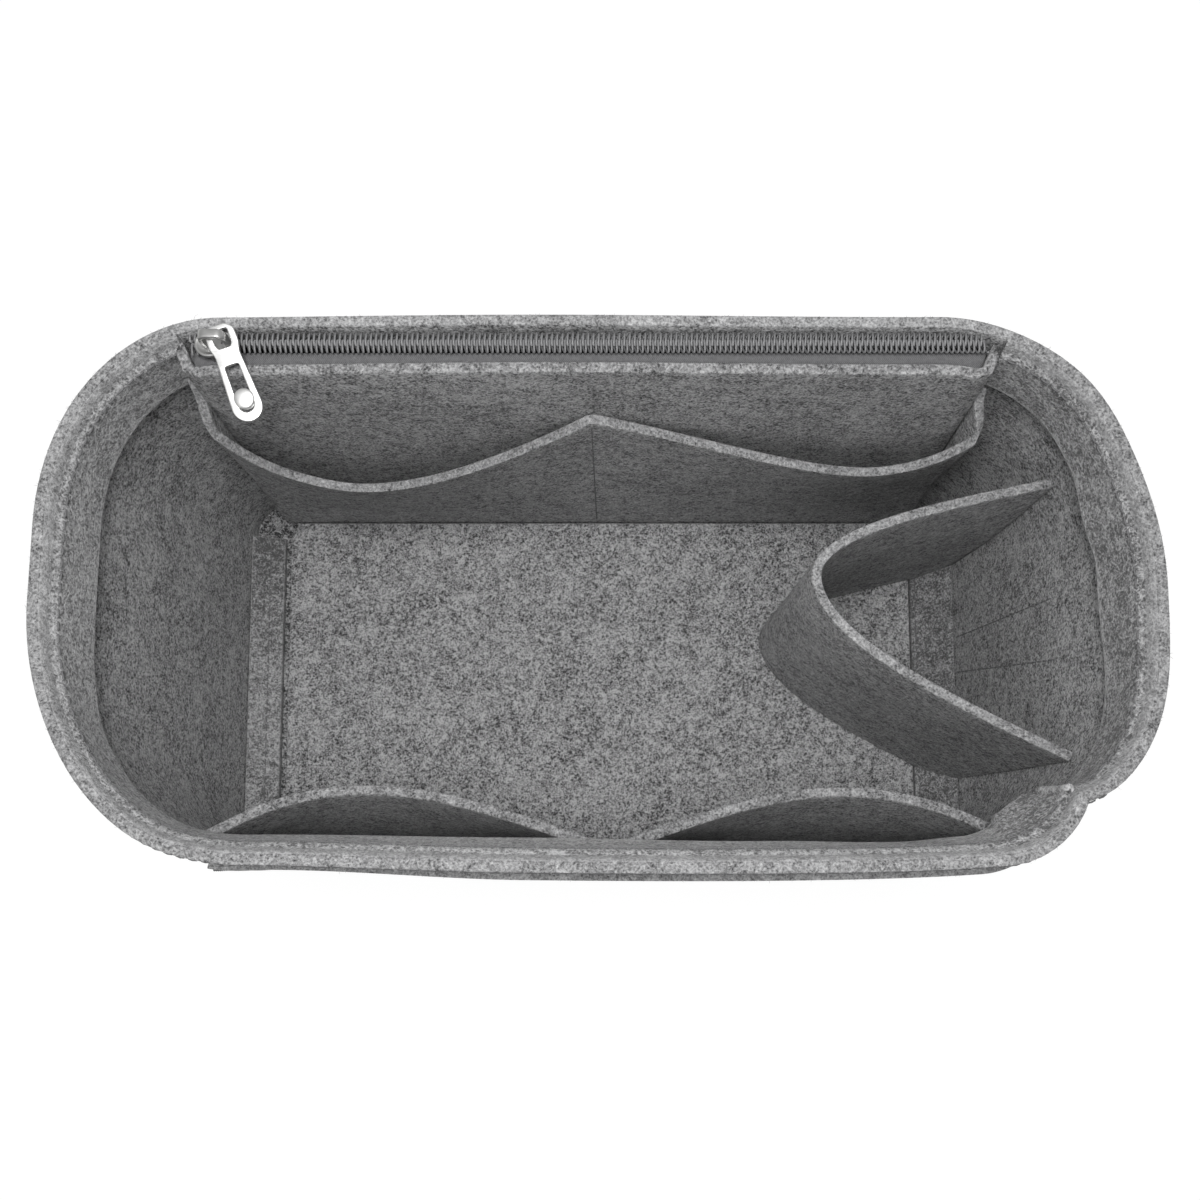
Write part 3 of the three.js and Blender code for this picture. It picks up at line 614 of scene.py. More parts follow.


# Painted shade: the walls' cut top edges are darkened, the back wall's least, so that they catch less light
RIM_PAINTED_SHADE = -0.08
back_wall = wall_panel("back_wall_felt", "back_wall", SEAM_BACK_RIGHT, SEAM_BACK_LEFT, tint=-0.02)
left_wall = wall_panel("left_end_felt", "left_end_wall", SEAM_BACK_LEFT, SEAM_FRONT_LEFT, tint=RIM_PAINTED_SHADE)
front_wall = wall_panel("front_wall_felt", "front_wall", SEAM_FRONT_LEFT, SEAM_FRONT_RIGHT, tint=RIM_PAINTED_SHADE)
right_wall = wall_panel("right_end_felt", "right_end_wall", SEAM_FRONT_RIGHT, SEAM_BACK_RIGHT + STATIONS,
                        tint=RIM_PAINTED_SHADE)

# Lean of the strips' lower edge at stations round the rim, in millimetres
LEAN_STATIONS = (3.16, 3.5, 4.9, 5.1, 5.26, 5.45, 5.7, 6, 6.4, 6.7, 6.88, 6.96, 7.05, 7.2, 7.32, 7.42,
                 7.55, 7.95, 9.03, 9.18, 9.35, 9.55, 9.78)
LEAN_DEPTHS = (0.6, 1.2, 1.4, 1.4, 0.5, 1.0, 1.9, 0.9, 3.2, 2.4, 1.4, 2.2, 7.8, 8.4, 7.4, 3.6,
               0.5, 0.3, 1.5, 3.2, 1.5, 0.9, 0.6)


def facing_lean(station):
    """How far the strip's lower edge hangs in from the wall: most at the front right corner."""
    return eased(station, LEAN_STATIONS, LEAN_DEPTHS) * MM


FACING_FINISH = dict(outer=FELT - 0.2 * MM, drop=FACING_DROP, lean=facing_lean, roll=2.6 * MM, slim=0.45,
                     soft=0.9 * MM, cell=1.3 * MM, material=felt_strip, held="hung")


def corner_painted_shade(u):
    """Painted shade: darker felt where the strip swings in towards the front right corner."""
    return -0.24 * smooth_step(u, 0.92, 0.95)


# Painted light: a highlight along each strip's lower edge, and painted shade on the right strip's face and
# towards the front right corner
facing_left = wall_panel("rim_strip_left", "rim_facing_left", FACING_LEFT_END, SEAM_FRONT_RIGHT,
                         lip=0.25, face_tint=corner_painted_shade, rests_on="front_wall_felt", **FACING_FINISH)
facing_right = wall_panel("rim_strip_right", "rim_facing_right", SEAM_FRONT_RIGHT, FACING_RIGHT_END,
                          lip=0.5, face_tint=-0.16, rests_on="right_end_felt", **FACING_FINISH)


def seam_ridge():
    """Rounded ridge where the strips meet at the front right seam: a tube down their inner face."""
    share = np.linspace(0.02, 0.96, 16)
    station = np.full_like(share, SEAM_FRONT_RIGHT)
    swing = facing_lean(station)
    low = HEIGHT - np.sqrt(FACING_DROP**2 - swing**2)
    z = low + (HEIGHT - low) * share - 1.6 * MM * smooth_step(share, 0.75, 1.0)
    inset = 2 * FELT - 0.5 * MM + swing * (1 - share) ** LEAN_POWER
    path = np.stack(wall_point(station, z, inset), -1)
    way = unit(np.gradient(path, axis=0))
    across = unit(np.cross(way, [0.6, 0.8, 0.0]))
    radii = 1.35 * MM * np.clip(np.minimum(share * 9, (1 - share) * 20), 0.4, 1)
    return swept_tube(path, across, np.cross(way, across), radii, 16)


ridge_points, ridge_faces = seam_ridge()
# Painted highlight: the ridge's felt is a little lighter
make_piece("corner_ridge", ridge_points, ridge_faces, felt_grey, "organizer",
           weights={"painted_light": np.full(len(ridge_points), 0.1)})

# Turned-in feet of the end walls, by side: -1 at the left and 1 at the right
FLANGE_ENDS = {-1: (-61 * MM, 56 * MM), 1: (-61 * MM, 54 * MM)}
FLANGE_EDGES = {-1: 126.3 * MM, 1: 126.4 * MM}
FLANGE_CURLS = {-1: 5 * MM, 1: 14 * MM}
FLANGE_POWERS = {-1: 2.0, 1: 1.25}


def foot_flange(side):
    """Turned-in foot of an end wall: a strip that curls up by a power of the way to the wall."""
    def surface(u, v, d):
        front, back = FLANGE_ENDS[side]
        y = front + (back - front) * u
        rise = FLANGE_CURLS[side] * np.clip(v, 0, 1) ** FLANGE_POWERS[side]
        edge = FLANGE_EDGES[side]
        wall = BASE_HALF[0] - FELT - 0.2 * MM + END_FLARE * FLANGE_CURLS[side] / HEIGHT
        return side * (edge + (wall - edge) * v), y, WALL_FOOT + d * FELT + rise
    return surface


def left_foot_painted_shade(u):
    """Painted shade: darker felt towards the back end of the left foot."""
    return -0.08 - 0.3 * smooth_step(u, 0.6, 0.95)


# Painted shade on both turned-in feet; the right foot is darkened evenly to the shade of the wall above it
cloth_sheet("left_foot_flange", None, foot_flange(-1), 117 * MM, 13 * MM, felt_strip, tint=-0.1,
            face_tint=left_foot_painted_shade, held="folded")
cloth_sheet("right_foot_flange", None, foot_flange(1), 115 * MM, 19 * MM, felt_strip, tint=-0.25,
            face_tint=-0.25, held="folded")


# Zipped panel and slip pockets

def panel_rise(z):
    return (z - WALL_FOOT) / (ZIP_PANEL_TOP - WALL_FOOT)


def panel_x(across, z):
    """Place along the panel at a share from -1 to 1 of its width at a height."""
    return ZIP_PANEL_SHIFT * panel_rise(z) + across * panel_half(z)


def panel_half(z):
    return FOOT_HALF + (ZIP_PANEL_HALF - FOOT_HALF) * panel_rise(z)


def zip_panel_y(x, z):
    """Back face of the zipped panel: held off the wall by the zip, and bent back to it at its ends."""
    from_end = panel_half(z) - np.abs(x - ZIP_PANEL_SHIFT * panel_rise(z))
    lean = (ZIP_GAP - 2 * GAP) * panel_rise(z)
    return back_wall_y(x, z, WALL_INSET) - lean * smooth_step(from_end, 0, ZIP_END_BEND)


def panel_columns(u):
    """Shares from -1 to 1 across a panel, drawn closer together towards its bent ends."""
    across = 2 * u - 1
    return across * (1 + 0.18 * (1 - across**2))


def zip_panel(u, v, d):
    z = WALL_FOOT + (ZIP_PANEL_TOP - WALL_FOOT) * v
    x = panel_x(panel_columns(u), z)
    step = 0.3 * MM
    slope = (zip_panel_y(x + step, z) - zip_panel_y(x - step, z)) / (2 * step)
    deep = d * FELT / np.sqrt(1 + slope**2)
    return x + slope * deep, zip_panel_y(x, z) - deep, z


# Painted shade: its cut edges are darkened
zip_felt = cloth_sheet("zip_panel_felt", "zip_pocket_panel", zip_panel, 2 * ZIP_PANEL_HALF, ZIP_PANEL_TOP,
                       felt_grey, tint=-0.13, rests_on="back_wall_felt")


def pocket_surface(dips, ends, bulges, lows, powers, flares, fullness, facing, seat):
    """Two slip pockets in one panel, parted by a seam.

    Each half bellies out by a sine that peaks at its low point, to the power of its fullness. Its mouth is
    scooped by one less a power of the distance from that point, and its ends are sewn higher by a smooth
    step. Near its end it flares along the panel by a smooth hump. The felt's depth is set off square to it.
    """
    def middle(u, v):
        across = panel_columns(u)
        right = across >= 0

        def of_half(pair):
            return np.where(right, pair[1], pair[0])

        side = np.clip(np.abs(across), 0, 1)
        low = of_half(lows)
        slack = np.clip(np.sin(np.pi * side ** (np.log(0.5) / np.log(low))), 0, 1)
        share = np.where(side < low, side / low, (1 - side) / (1 - low))
        scoop = 1 - (1 - share) ** np.where(side < low, 1.7, of_half(powers))
        top = POCKET_TOP - of_half(dips) * scoop + of_half(ends) * smooth_step(side, low, 1)
        z = WALL_FOOT + (top - WALL_FOOT) * v
        x, y = seat(across, z)
        full = np.clip(v, 0, 1.02) ** 1.4
        hump = smooth_step(side, 0.75, 0.95) * (1 - smooth_step(side, 0.95, 1))
        x = x + np.sign(across) * of_half(flares) * hump * full
        return x, y + facing * of_half(bulges) * slack**fullness * full, z

    def surface(u, v, d):
        step = 1e-3
        ahead, behind = middle(np.clip(u + step, 0, 1), v), middle(np.clip(u - step, 0, 1), v)
        run, rise = ahead[0] - behind[0], ahead[1] - behind[1]
        deep = facing * d * FELT / np.hypot(run, rise)
        x, y, z = middle(u, v)
        return x - rise * deep, y + run * deep, z
    return surface


def back_seat(across, z):
    x = panel_x(across, z)
    return x, zip_panel_y(x, z) - FELT - GAP


FRONT_POCKET_LEFT, FRONT_POCKET_RIGHT = 113 * MM, 118 * MM
FRONT_POCKET_LENGTH = 0.235


def front_seat(across, z):
    rise = (z - WALL_FOOT) / (POCKET_TOP - WALL_FOOT)
    left = -FOOT_HALF + (FOOT_HALF - FRONT_POCKET_LEFT) * rise
    right = FOOT_HALF + (FRONT_POCKET_RIGHT - FOOT_HALF) * rise
    x = left + (right - left) * (across + 1) / 2
    return x, front_wall_y(x, z, FELT + GAP)


back_pockets = pocket_surface(
    dips=(38 * MM, 23 * MM), ends=(13 * MM, 8 * MM), bulges=(10 * MM, 9 * MM), lows=(0.64, 0.75),
    powers=(4.4, 3.0), flares=(3 * MM, 7 * MM), fullness=0.62, facing=-1, seat=back_seat)
front_pockets = pocket_surface(
    dips=(14 * MM, 14 * MM), ends=(0, 0), bulges=(16.5 * MM, 17.5 * MM), lows=(0.57, 0.6),
    powers=(1.7, 1.7), flares=(0, 0), fullness=0.75, facing=1, seat=front_seat)
# Painted shade: the pockets' cut edges are darkened, the front pocket's more
back_felt = cloth_sheet("back_pocket_felt", "back_pocket_panel", back_pockets,
                        2 * ZIP_PANEL_HALF, POCKET_TOP, felt_grey, cell=1.6 * MM, tint=-0.02,
                        rests_on="zip_panel_felt")
front_felt = cloth_sheet("front_pocket_felt", "front_pocket_panel", front_pockets,
                         FRONT_POCKET_LENGTH, POCKET_TOP, felt_grey, cell=1.8 * MM, tint=-0.1,
                         rests_on="front_wall_felt")


# Bottle holder

HOLDER_FOOT, HOLDER_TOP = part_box("bottle_holder")[0][2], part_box("bottle_holder")[1][2]
HOLDER_APEX = np.array([65, 14]) * MM
HOLDER_BACK, HOLDER_FRONT = 44.3 * MM, -42.4 * MM
HOLDER_ROUND = (15 * MM, -20 * MM)
HOLDER_SWEEP = 38 * MM
HOLDER_LENGTH = 0.19


def holder_arm(t, wall_x, wall_y, breadth):
    """Cubic arm of the loop from the wall (t 0) to the tip (t 1), and its direction."""
    start = np.stack([wall_x, wall_y + 0 * wall_x], -1)
    handle = HOLDER_APEX + np.array([0, breadth])
    reach = handle - start
    near = start + reach * HOLDER_SWEEP / np.linalg.norm(reach, axis=-1, keepdims=True)
    t = t[..., None]
    s = 1 - t
    point = s**3 * start + 3 * s * s * t * near + 3 * s * t * t * handle + t**3 * HOLDER_APEX
    slope = s * s * (near - start) + 2 * s * t * (handle - near) + t * t * (HOLDER_APEX - handle)
    return point, unit(slope)


def holder(u, v, d):
    z = HOLDER_FOOT + (HOLDER_TOP - HOLDER_FOOT) * v
    back_x = right_wall_x(np.full_like(z, HOLDER_BACK), z, WALL_INSET)
    front_x = right_wall_x(np.full_like(z, HOLDER_FRONT), z, WALL_INSET)
    back, back_way = holder_arm(np.clip(2 * u, 0, 1), back_x, HOLDER_BACK, HOLDER_ROUND[0])
    front, front_way = holder_arm(np.clip(2 - 2 * u, 0, 1), front_x, HOLDER_FRONT, HOLDER_ROUND[1])
    first = (u <= 0.5)[..., None]
    point = np.where(first, back, front)
    way = np.where(first, back_way, -front_way)
    inward = np.stack([-way[..., 1], way[..., 0]], -1)
    point = point + inward * (d * FELT)[..., None]
    limit = right_wall_x(point[..., 1], z, WALL_INSET)
    return np.minimum(point[..., 0], limit), point[..., 1], z


# Painted shade: its cut edges are darkened a little
loop_felt = cloth_sheet("bottle_loop", "bottle_holder", holder, HOLDER_LENGTH, HOLDER_TOP - HOLDER_FOOT,
                        felt_grey, tint=-0.05, rests_on="right_end_felt")


# Sleeves outside the tub

SLEEVE_SPAN = (5.84, 7.2)
SLEEVE_TOP = 118 * MM
SLEEVE_LENGTH = 0.25
PEN_TOP = 95 * MM
PEN_MIDDLE, PEN_HALF = 5 * MM, 27 * MM


def swell(u, v, bulge, lobes):
    """Fullness of a sleeve that is sewn down at its foot, at its ends and between its lobes."""
    return bulge * np.abs(np.sin(lobes * np.pi * np.clip(u, 0, 1))) ** 0.7 * np.clip(v, 0, 1)


def front_sleeve(u, v, d):
    z = GAP + (SLEEVE_TOP - GAP) * v
    station = SLEEVE_SPAN[0] + (SLEEVE_SPAN[1] - SLEEVE_SPAN[0]) * u
    return wall_point(station, z, -GAP - swell(u, v, 0.2 * MM, 1) - (1 - d) * FELT)


def pen_sleeve(u, v, d):
    y = PEN_MIDDLE + (2 * u - 1) * PEN_HALF
    z = GAP + (PEN_TOP - GAP) * v
    return right_wall_x(y, z, -2 * GAP) + swell(u, v, 1.2 * MM, 3) + (1 - d) * FELT, y, z


sleeve_felt = cloth_sheet("front_sleeve_felt", "front_sleeve", front_sleeve, SLEEVE_LENGTH, SLEEVE_TOP,
                          felt_grey, rests_on="front_wall_felt")
pen_felt = cloth_sheet("pen_sleeve_felt", "pen_sleeve", pen_sleeve, 2 * PEN_HALF, PEN_TOP, felt_grey,
                       rests_on="right_end_felt")


# Sewn seams

STITCH_PITCH = 3.4 * MM
STITCH_RADIUS = 0.26 * MM


def along_path(path, pitch):
    """Middles, directions and run of stitches spaced evenly along a path of points."""
    run = run_along(path)
    count = max(int(run[-1] / pitch), 1)
    at = (np.arange(count) + 0.5) * run[-1] / count
    way = rows_at(at + pitch / 4, run, path) - rows_at(at - pitch / 4, run, path)
    return rows_at(at, run, path), unit(way), at


def stitches(path, out):
    """Points and faces of one thread loop per pitch: a bent spindle, sunk at its ends."""
    middle, way, at = along_path(path, STITCH_PITCH)
    out = rows_at(at / at[-1], np.linspace(0, 1, len(path)), out)
    out = unit(out - way * np.einsum("ij,ij->i", out, way)[:, None])
    length = np.array([-1, -0.8, 0, 0.8, 1]) * 0.42 * STITCH_PITCH
    girth = np.array([0.25, 0.85, 1, 0.85, 0.25]) * STITCH_RADIUS
    lift = np.array([-0.3, 0.15, 0.3, 0.15, -0.3]) * MM
    angle = np.arange(6) * TAU / 6
    shape = (length[:, None] + 0 * angle,
             girth[:, None] * np.cos(angle),
             lift[:, None] + girth[:, None] * np.sin(angle))
    axes = (way, np.cross(way, out), out)
    points = middle[:, None, None] + sum(
        part[..., None] * axis[:, None, None] for part, axis in zip(shape, axes))
    caps = np.array([[5, 4, 3, 2, 1, 0], [24, 25, 26, 27, 28, 29]])
    shift = (np.arange(len(middle)) * 30)[:, None, None]
    faces = (ring_quads(5, 6) + shift).reshape(-1, 4).tolist() + (caps + shift).reshape(-1, 6).tolist()
    return points.reshape(-1, 3), faces


def surface_line(surface, u, v, d):
    """A line on a sheet's face at depth d, with the direction out of that face."""
    u, v = np.broadcast_arrays(u, v)
    here = np.stack(surface(u, v, np.full(u.shape, d)), -1)
    within = np.stack(surface(u, v, np.full(u.shape, 0.5)), -1)
    return here, unit(here - within)


def wall_line(station, z, inset, inside=False):
    """A line on the wall at stations and heights, with the direction out of that face."""
    station, z = np.broadcast_arrays(station, z)
    here = np.stack(wall_point(station, z, inset), -1)
    deeper = np.stack(wall_point(station, z, inset + 1 * MM), -1)
    out = (here - deeper) / MM
    return here, -out if inside else out


def sew(name, lines):
    """One piece of all the stitches along lines of (path, out)."""
    points, faces, total = [], [], 0
    for path, out in lines:
        some, polygons = stitches(path, out)
        points.append(some)
        faces += [[total + k for k in polygon] for polygon in polygons]
        total += len(some)
    points = np.concatenate(points)
    return make_piece(name, points, outward(points, faces), thread_grey, "organizer")


steps = np.linspace(0.0, 1.0, 260)
outside_lines = [
    wall_line(np.linspace(-0.4, 7.5, 900), HEIGHT - RIM_STITCH, 0.0),
    wall_line(np.linspace(0, STATIONS, 900), WALL_FOOT + 3.5 * MM, 0.0),
]
outside_lines += [
    wall_line(station, HEIGHT * np.linspace(0.05, 0.97, 60), 0.0)
    for station in (SEAM_BACK_RIGHT + 0.03, SEAM_BACK_LEFT - 0.03, 2.49)
]
outside_lines += [
    surface_line(front_sleeve, share, np.linspace(0.03, 0.97, 80), 0.0)
    for share in (0.012, 0.988)
]
outside_lines.append(surface_line(front_sleeve, steps, 0.04, 0.0))
outside_lines += [
    surface_line(pen_sleeve, share, np.linspace(0.04, 0.97, 60), 0.0)
    for share in (0.045, 0.333, 0.667, 0.955)
]
sew("outside_seams", outside_lines)


def facing_seam(station):
    """Line of the rim's topstitch on the inner face of the strip."""
    part = facing_lean(station) * (RIM_STITCH / FACING_DROP) ** LEAN_POWER
    return wall_line(station, HEIGHT - RIM_STITCH, 2 * FELT + 0.1 * MM + part, inside=True)


pocket_rise = np.linspace(0.06, 0.97, 60)
inside_lines = [
    facing_seam(np.linspace(FACING_LEFT_END + 0.02, SEAM_FRONT_RIGHT - 0.08, 600)),
    facing_seam(np.linspace(SEAM_FRONT_RIGHT + 0.08, FACING_RIGHT_END - 0.02, 500)),
    surface_line(back_pockets, 0.5, pocket_rise, 1.0),
    surface_line(front_pockets, 0.5, pocket_rise, 1.0),
    surface_line(foot_flange(-1), steps, 0.45, 1.0),
    surface_line(foot_flange(1), steps, 0.12, 1.0),
]
for foot_y, top_y in ((12.4 * MM, 10.5 * MM), (-1.2 * MM, -9.2 * MM)):
    seam_z = np.linspace(21 * MM, PEN_TOP, 60)
    seam_y = np.linspace(foot_y, top_y, 60)
    seam_x = right_wall_x(seam_y, seam_z, FELT)
    inside_lines.append((np.stack([seam_x, seam_y, seam_z], -1), np.tile([-1.0, 0, 0], (60, 1))))
    foot_share = (foot_y - FLANGE_ENDS[1][0]) / (FLANGE_ENDS[1][1] - FLANGE_ENDS[1][0])
    inside_lines.append(surface_line(foot_flange(1), foot_share, np.linspace(0.05, 0.95, 30), 1.0))
sew("inside_seams", inside_lines)


# Zip

SLIDER_LOW, SLIDER_HIGH = np.array(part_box("slider_body"))
SLIDER_X, ZIP_Y = ((SLIDER_LOW + SLIDER_HIGH) / 2)[:2]
TAPE_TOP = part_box("zip_tape_front")[1][2]
TAPE_THICK = 0.7 * MM
TAPE_WIDTH = 12 * MM
TAPE_FLANGE = 9 * MM
TAPE_SPLIT = 0.8 * MM
TAPE_ENDS = (ZIP_PANEL_SHIFT + np.array([-1, 1]) * (ZIP_PANEL_HALF - 4.5 * MM)
             + np.array([-2.6 * MM, 2.6 * MM]))
COIL_PITCH = 1.4 * MM
COIL_HALF = 2.9 * MM
COIL_LIFT = 1.15 * MM
COIL_SHIFT = 1.0 * MM
COIL_WIRE = 0.3 * MM
COIL_PARTING, COIL_PARTING_RUN = 1.0 * MM, 6 * MM
COIL_SIDES = 7
COIL_ENDS = TAPE_ENDS + np.array([0.6 * MM, -0.9 * MM])


def tape_material():
    """Herringbone tape: slanting ribs that turn at each band, by the tape's own lengths."""
    material, tree, _ = shaded("woven tape", Roughness=0.75, Sheen_Weight=0.1)
    cloth = add_node(tree, "UVMap")
    cloth.uv_map = "cloth"
    parts = add_node(tree, "SeparateXYZ", Vector=cloth.outputs[0])
    band = maths(tree, "PINGPONG", parts.outputs["Y"], 0.9 * MM)
    slant = maths(tree, "ADD", parts.outputs["X"], band)
    rib = maths(tree, "SINE", maths(tree, "MULTIPLY", slant, TAU / (0.55 * MM)))
    rough = noise(tree, cloth.outputs[0], 900, 3, 0.6)
    tone = maths(tree, "MULTIPLY_ADD", rib, 0.22, maths(tree, "MULTIPLY_ADD", rough, 0.8, 0.1))
    colour_by(tree, tone, (0.05, 0.05, 0.053), (0.24, 0.24, 0.245))
    bump_by(tree, rib, 0.12 * MM)
    return material


def coil_material():
    """Moulded coil: mid grey and slightly glossy, with a painted highlight on the heads and tops of its
    turns.
    """
    material, tree, bsdf = shaded("moulded coil", Roughness=0.38)
    speck = noise(tree, object_place(tree), 2200)
    tone = maths(tree, "MULTIPLY_ADD", speck, 0.25, attribute(tree, "painted_highlight"))
    colour_by(tree, tone, (0.03, 0.03, 0.032), (0.36, 0.36, 0.365))
    put(tree, bsdf.inputs["Roughness"], maths(tree, "MULTIPLY_ADD", speck, 0.3, 0.25))
    return material


tape_grey = tape_material()
coil_grey = coil_material()


def zip_tape(direction):
    """L-shaped tape: flat from the slit to the felt it is sewn to, round a bend, then down along it."""
    bend = 1.3 * MM

    def felt_off(x, z):
        """How far that felt stands from the middle of the zip."""
        if direction > 0:
            return back_wall_y(x, z, WALL_INSET) - ZIP_Y
        return ZIP_Y - zip_panel_y(x, z) - GAP

    def surface(u, v, d):
        x = TAPE_ENDS[0] + (TAPE_ENDS[1] - TAPE_ENDS[0]) * u
        off = felt_off(x, 0 * x + TAPE_TOP)
        reach = off - TAPE_SPLIT
        arc = bend * np.pi / 2
        s = v * (reach - bend + arc + TAPE_FLANGE - bend)
        angle = np.clip((s - (reach - bend)) / bend, 0, np.pi / 2)
        flat = np.minimum(s, reach - bend)
        fall = np.maximum(s - (reach - bend + arc), 0)
        inner = bend - d * TAPE_THICK
        across = TAPE_SPLIT + flat + inner * np.sin(angle)
        z = TAPE_TOP - (bend - inner * np.cos(angle) + fall)
        slope = felt_off(x, z) - off
        return x, ZIP_Y + direction * (across + slope * smooth_step(angle, 0, np.pi / 2)), z
    return surface


for label, node, direction, sewn_to in (("back", "zip_tape_back", 1, "back_wall_felt"),
                                        ("front", "zip_tape_front", -1, "zip_panel_felt")):
    cloth_sheet("tape_" + label, node, zip_tape(direction), TAPE_ENDS[1] - TAPE_ENDS[0], TAPE_WIDTH,
                tape_grey, slot="tape", thickness=TAPE_THICK, cell=1.2 * MM, soft=0.25 * MM,
                rests_on=sewn_to)


def coil_row(direction):
    """Flattened spiral of one row of teeth, whose heads pass the middle and are pressed wider.

    Across is a cosine about the row's middle and height a sine; the run along grows by a pitch a turn.
    Ahead of the slider's throat the row swings away from the middle.
    """
    start, end = COIL_ENDS
    turns = int((end - start) / COIL_PITCH)
    angle = np.linspace(0, TAU * turns, 16 * turns + 1)
    head = 0.55 * MM
    wide = (COIL_HALF - COIL_WIRE + head) / 2
    tall = 0.78 * MM
    cosine, sine = np.cos(angle), np.sin(angle)
    phase = 0.0 if direction > 0 else COIL_PITCH / 2
    run = start + phase + COIL_PITCH * angle / TAU + 0.35 * MM * cosine
    throat = SLIDER_X - 1.5 * MM
    part = COIL_PARTING * smooth_step(throat - run, 0, COIL_PARTING_RUN)
    across = wide * squared(cosine, 0.8) + (wide - head) + part
    rise = TAPE_TOP + COIL_LIFT + tall * (1 + sine)
    path = np.stack([run, ZIP_Y + COIL_SHIFT + direction * across, rise], -1)
    way = unit(np.gradient(path, axis=0))
    side = unit(np.cross(way, [1.0, 0, 0]))
    radii = COIL_WIRE * (1 + 0.35 * np.clip(-cosine, 0, 1) ** 3)
    # Painted highlight: lighter on the heads at the middle, on the tops of the turns and a little on the
    # outer bends
    painted_highlight = (0.14 + 0.22 * np.clip(sine, 0, 1) + 0.7 * np.clip(-cosine, 0, 1) ** 4
             + 0.25 * np.clip(cosine, 0, 1) ** 6)
    points, faces = swept_tube(path, np.cross(side, way), side, radii, COIL_SIDES)
    return points, faces, np.repeat(painted_highlight, COIL_SIDES)


for label, node, direction in (("back", "zip_teeth_back", 1), ("front", "zip_teeth_front", -1)):
    coil_points, coil_faces, coil_highlight = coil_row(direction)
    coil = make_piece("coil_" + label, coil_points, coil_faces, coil_grey, "organizer",
                      weights={"painted_highlight": coil_highlight})
    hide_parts(node)


# Slider and pull

def nickel_material(name, dark, light, smooth):
    """Plated metal with fine lengthwise scratches and a slight unevenness of polish."""
    material, tree, bsdf = shaded(name, Roughness=0.25, Metallic=1.0)
    place = object_place(tree)
    scratch = noise(tree, turned(tree, place, (0, 0, 0.3), (0.15, 1, 1)), 5200, 2, 0.6)
    cloud = noise(tree, place, 420)
    tone = maths(tree, "MULTIPLY_ADD", scratch, 0.5, maths(tree, "MULTIPLY", cloud, 0.5))
    colour_by(tree, tone, dark, light)
    put(tree, bsdf.inputs["Roughness"], maths(tree, "MULTIPLY_ADD", tone, 0.3, smooth))
    bump_by(tree, scratch, 0.02 * MM, 0.1)
    return material


nickel = nickel_material("bright nickel", (0.6, 0.6, 0.595), (0.84, 0.84, 0.83), 0.24)
brushed = nickel_material("brushed nickel", (0.36, 0.36, 0.356), (0.62, 0.62, 0.61), 0.25)
SLIDER_LENGTH = 11 * MM
ROOF_HALF = 3.7 * MM
SOLE_HALF = 2.8 * MM
PLATE_THICK, PLATE_BEVEL = 1.2 * MM, 0.35 * MM
ROOF_UNDER = TAPE_TOP + 2.8 * MM
ROOF_TOP = ROOF_UNDER + PLATE_THICK
SOLE_TOP = TAPE_TOP - TAPE_THICK - 0.3 * MM


def even_loop(shape, count):
    """Points spaced evenly round a closed path, whose last point is its first."""
    run = run_along(shape)
    return rows_at(np.arange(count) * run[-1] / count, run, shape)


def plate_outline(half_width, count=72):
    """Plan of a slider plate: a half round at its front end, straight sides that narrow to the tail."""
    front = -SLIDER_LENGTH / 2
    turn = np.linspace(np.pi / 2, 1.5 * np.pi, 40)
    nose = np.stack([front + half_width + half_width * np.cos(turn), half_width * np.sin(turn)], -1)
    tail = np.array([[-front, -0.8 * half_width], [-front, 0.8 * half_width]])
    even = even_loop(np.concatenate([nose, tail, nose[:1]]), count)
    return sum(np.roll(even, shift, axis=0) for shift in (-1, 0, 1)) / 3


def lofted_plate(outline, bottom, top, bevel, recess=0.0):
    """A plate over an outline: rings inset by a quarter round at each edge, with a field sunk in its top."""
    ahead = np.roll(outline, -1, axis=0) - np.roll(outline, 1, axis=0)
    inward = unit(np.stack([-ahead[:, 1], ahead[:, 0]], -1))
    turn = np.linspace(0, np.pi / 2, 5)
    inset = bevel * np.concatenate([1 - np.sin(turn), 1 - np.cos(turn)])
    level = np.concatenate([bottom + bevel * (1 - np.cos(turn)), top - bevel * (1 - np.sin(turn))])
    rings = [outline + inward * step for step in inset]
    if recess:
        rings += [outline + inward * (bevel + step) for step in (0.35 * MM, 0.6 * MM)]
        level = np.concatenate([level, [top, top - recess]])
    middle = outline.mean(axis=0)
    rings += [middle + (rings[-1] - middle) * share for share in (0.8, 0.4)]
    level = np.concatenate([level, [top - recess, top - recess]])
    return capped_tube(np.stack([np.column_stack([r, np.full(len(r), z)]) for r, z in zip(rings, level)]))


def arch_bridge():
    """Bridge over the slider: a flat band with round edges, swept along a squared arch on the roof."""
    turn = np.linspace(0, np.pi, 41)
    square = 0.42
    x = -3.2 * MM * squared(np.cos(turn), square)
    z = ROOF_TOP - 0.3 * MM + 5.5 * MM * np.sin(turn) ** square
    path = np.stack([x + 0.6 * MM, 0 * x, z], -1)
    across = np.array([0.0, 1, 0])
    up = np.cross(unit(np.gradient(path, axis=0)), across)
    angle = np.arange(20)[:, None] * TAU / 20
    wide = 1.25 * MM * squared(np.cos(angle), 0.5)
    thick = 0.62 * MM * squared(np.sin(angle), 0.5)
    return capped_tube(path[:, None] + wide * across + thick * up[:, None])


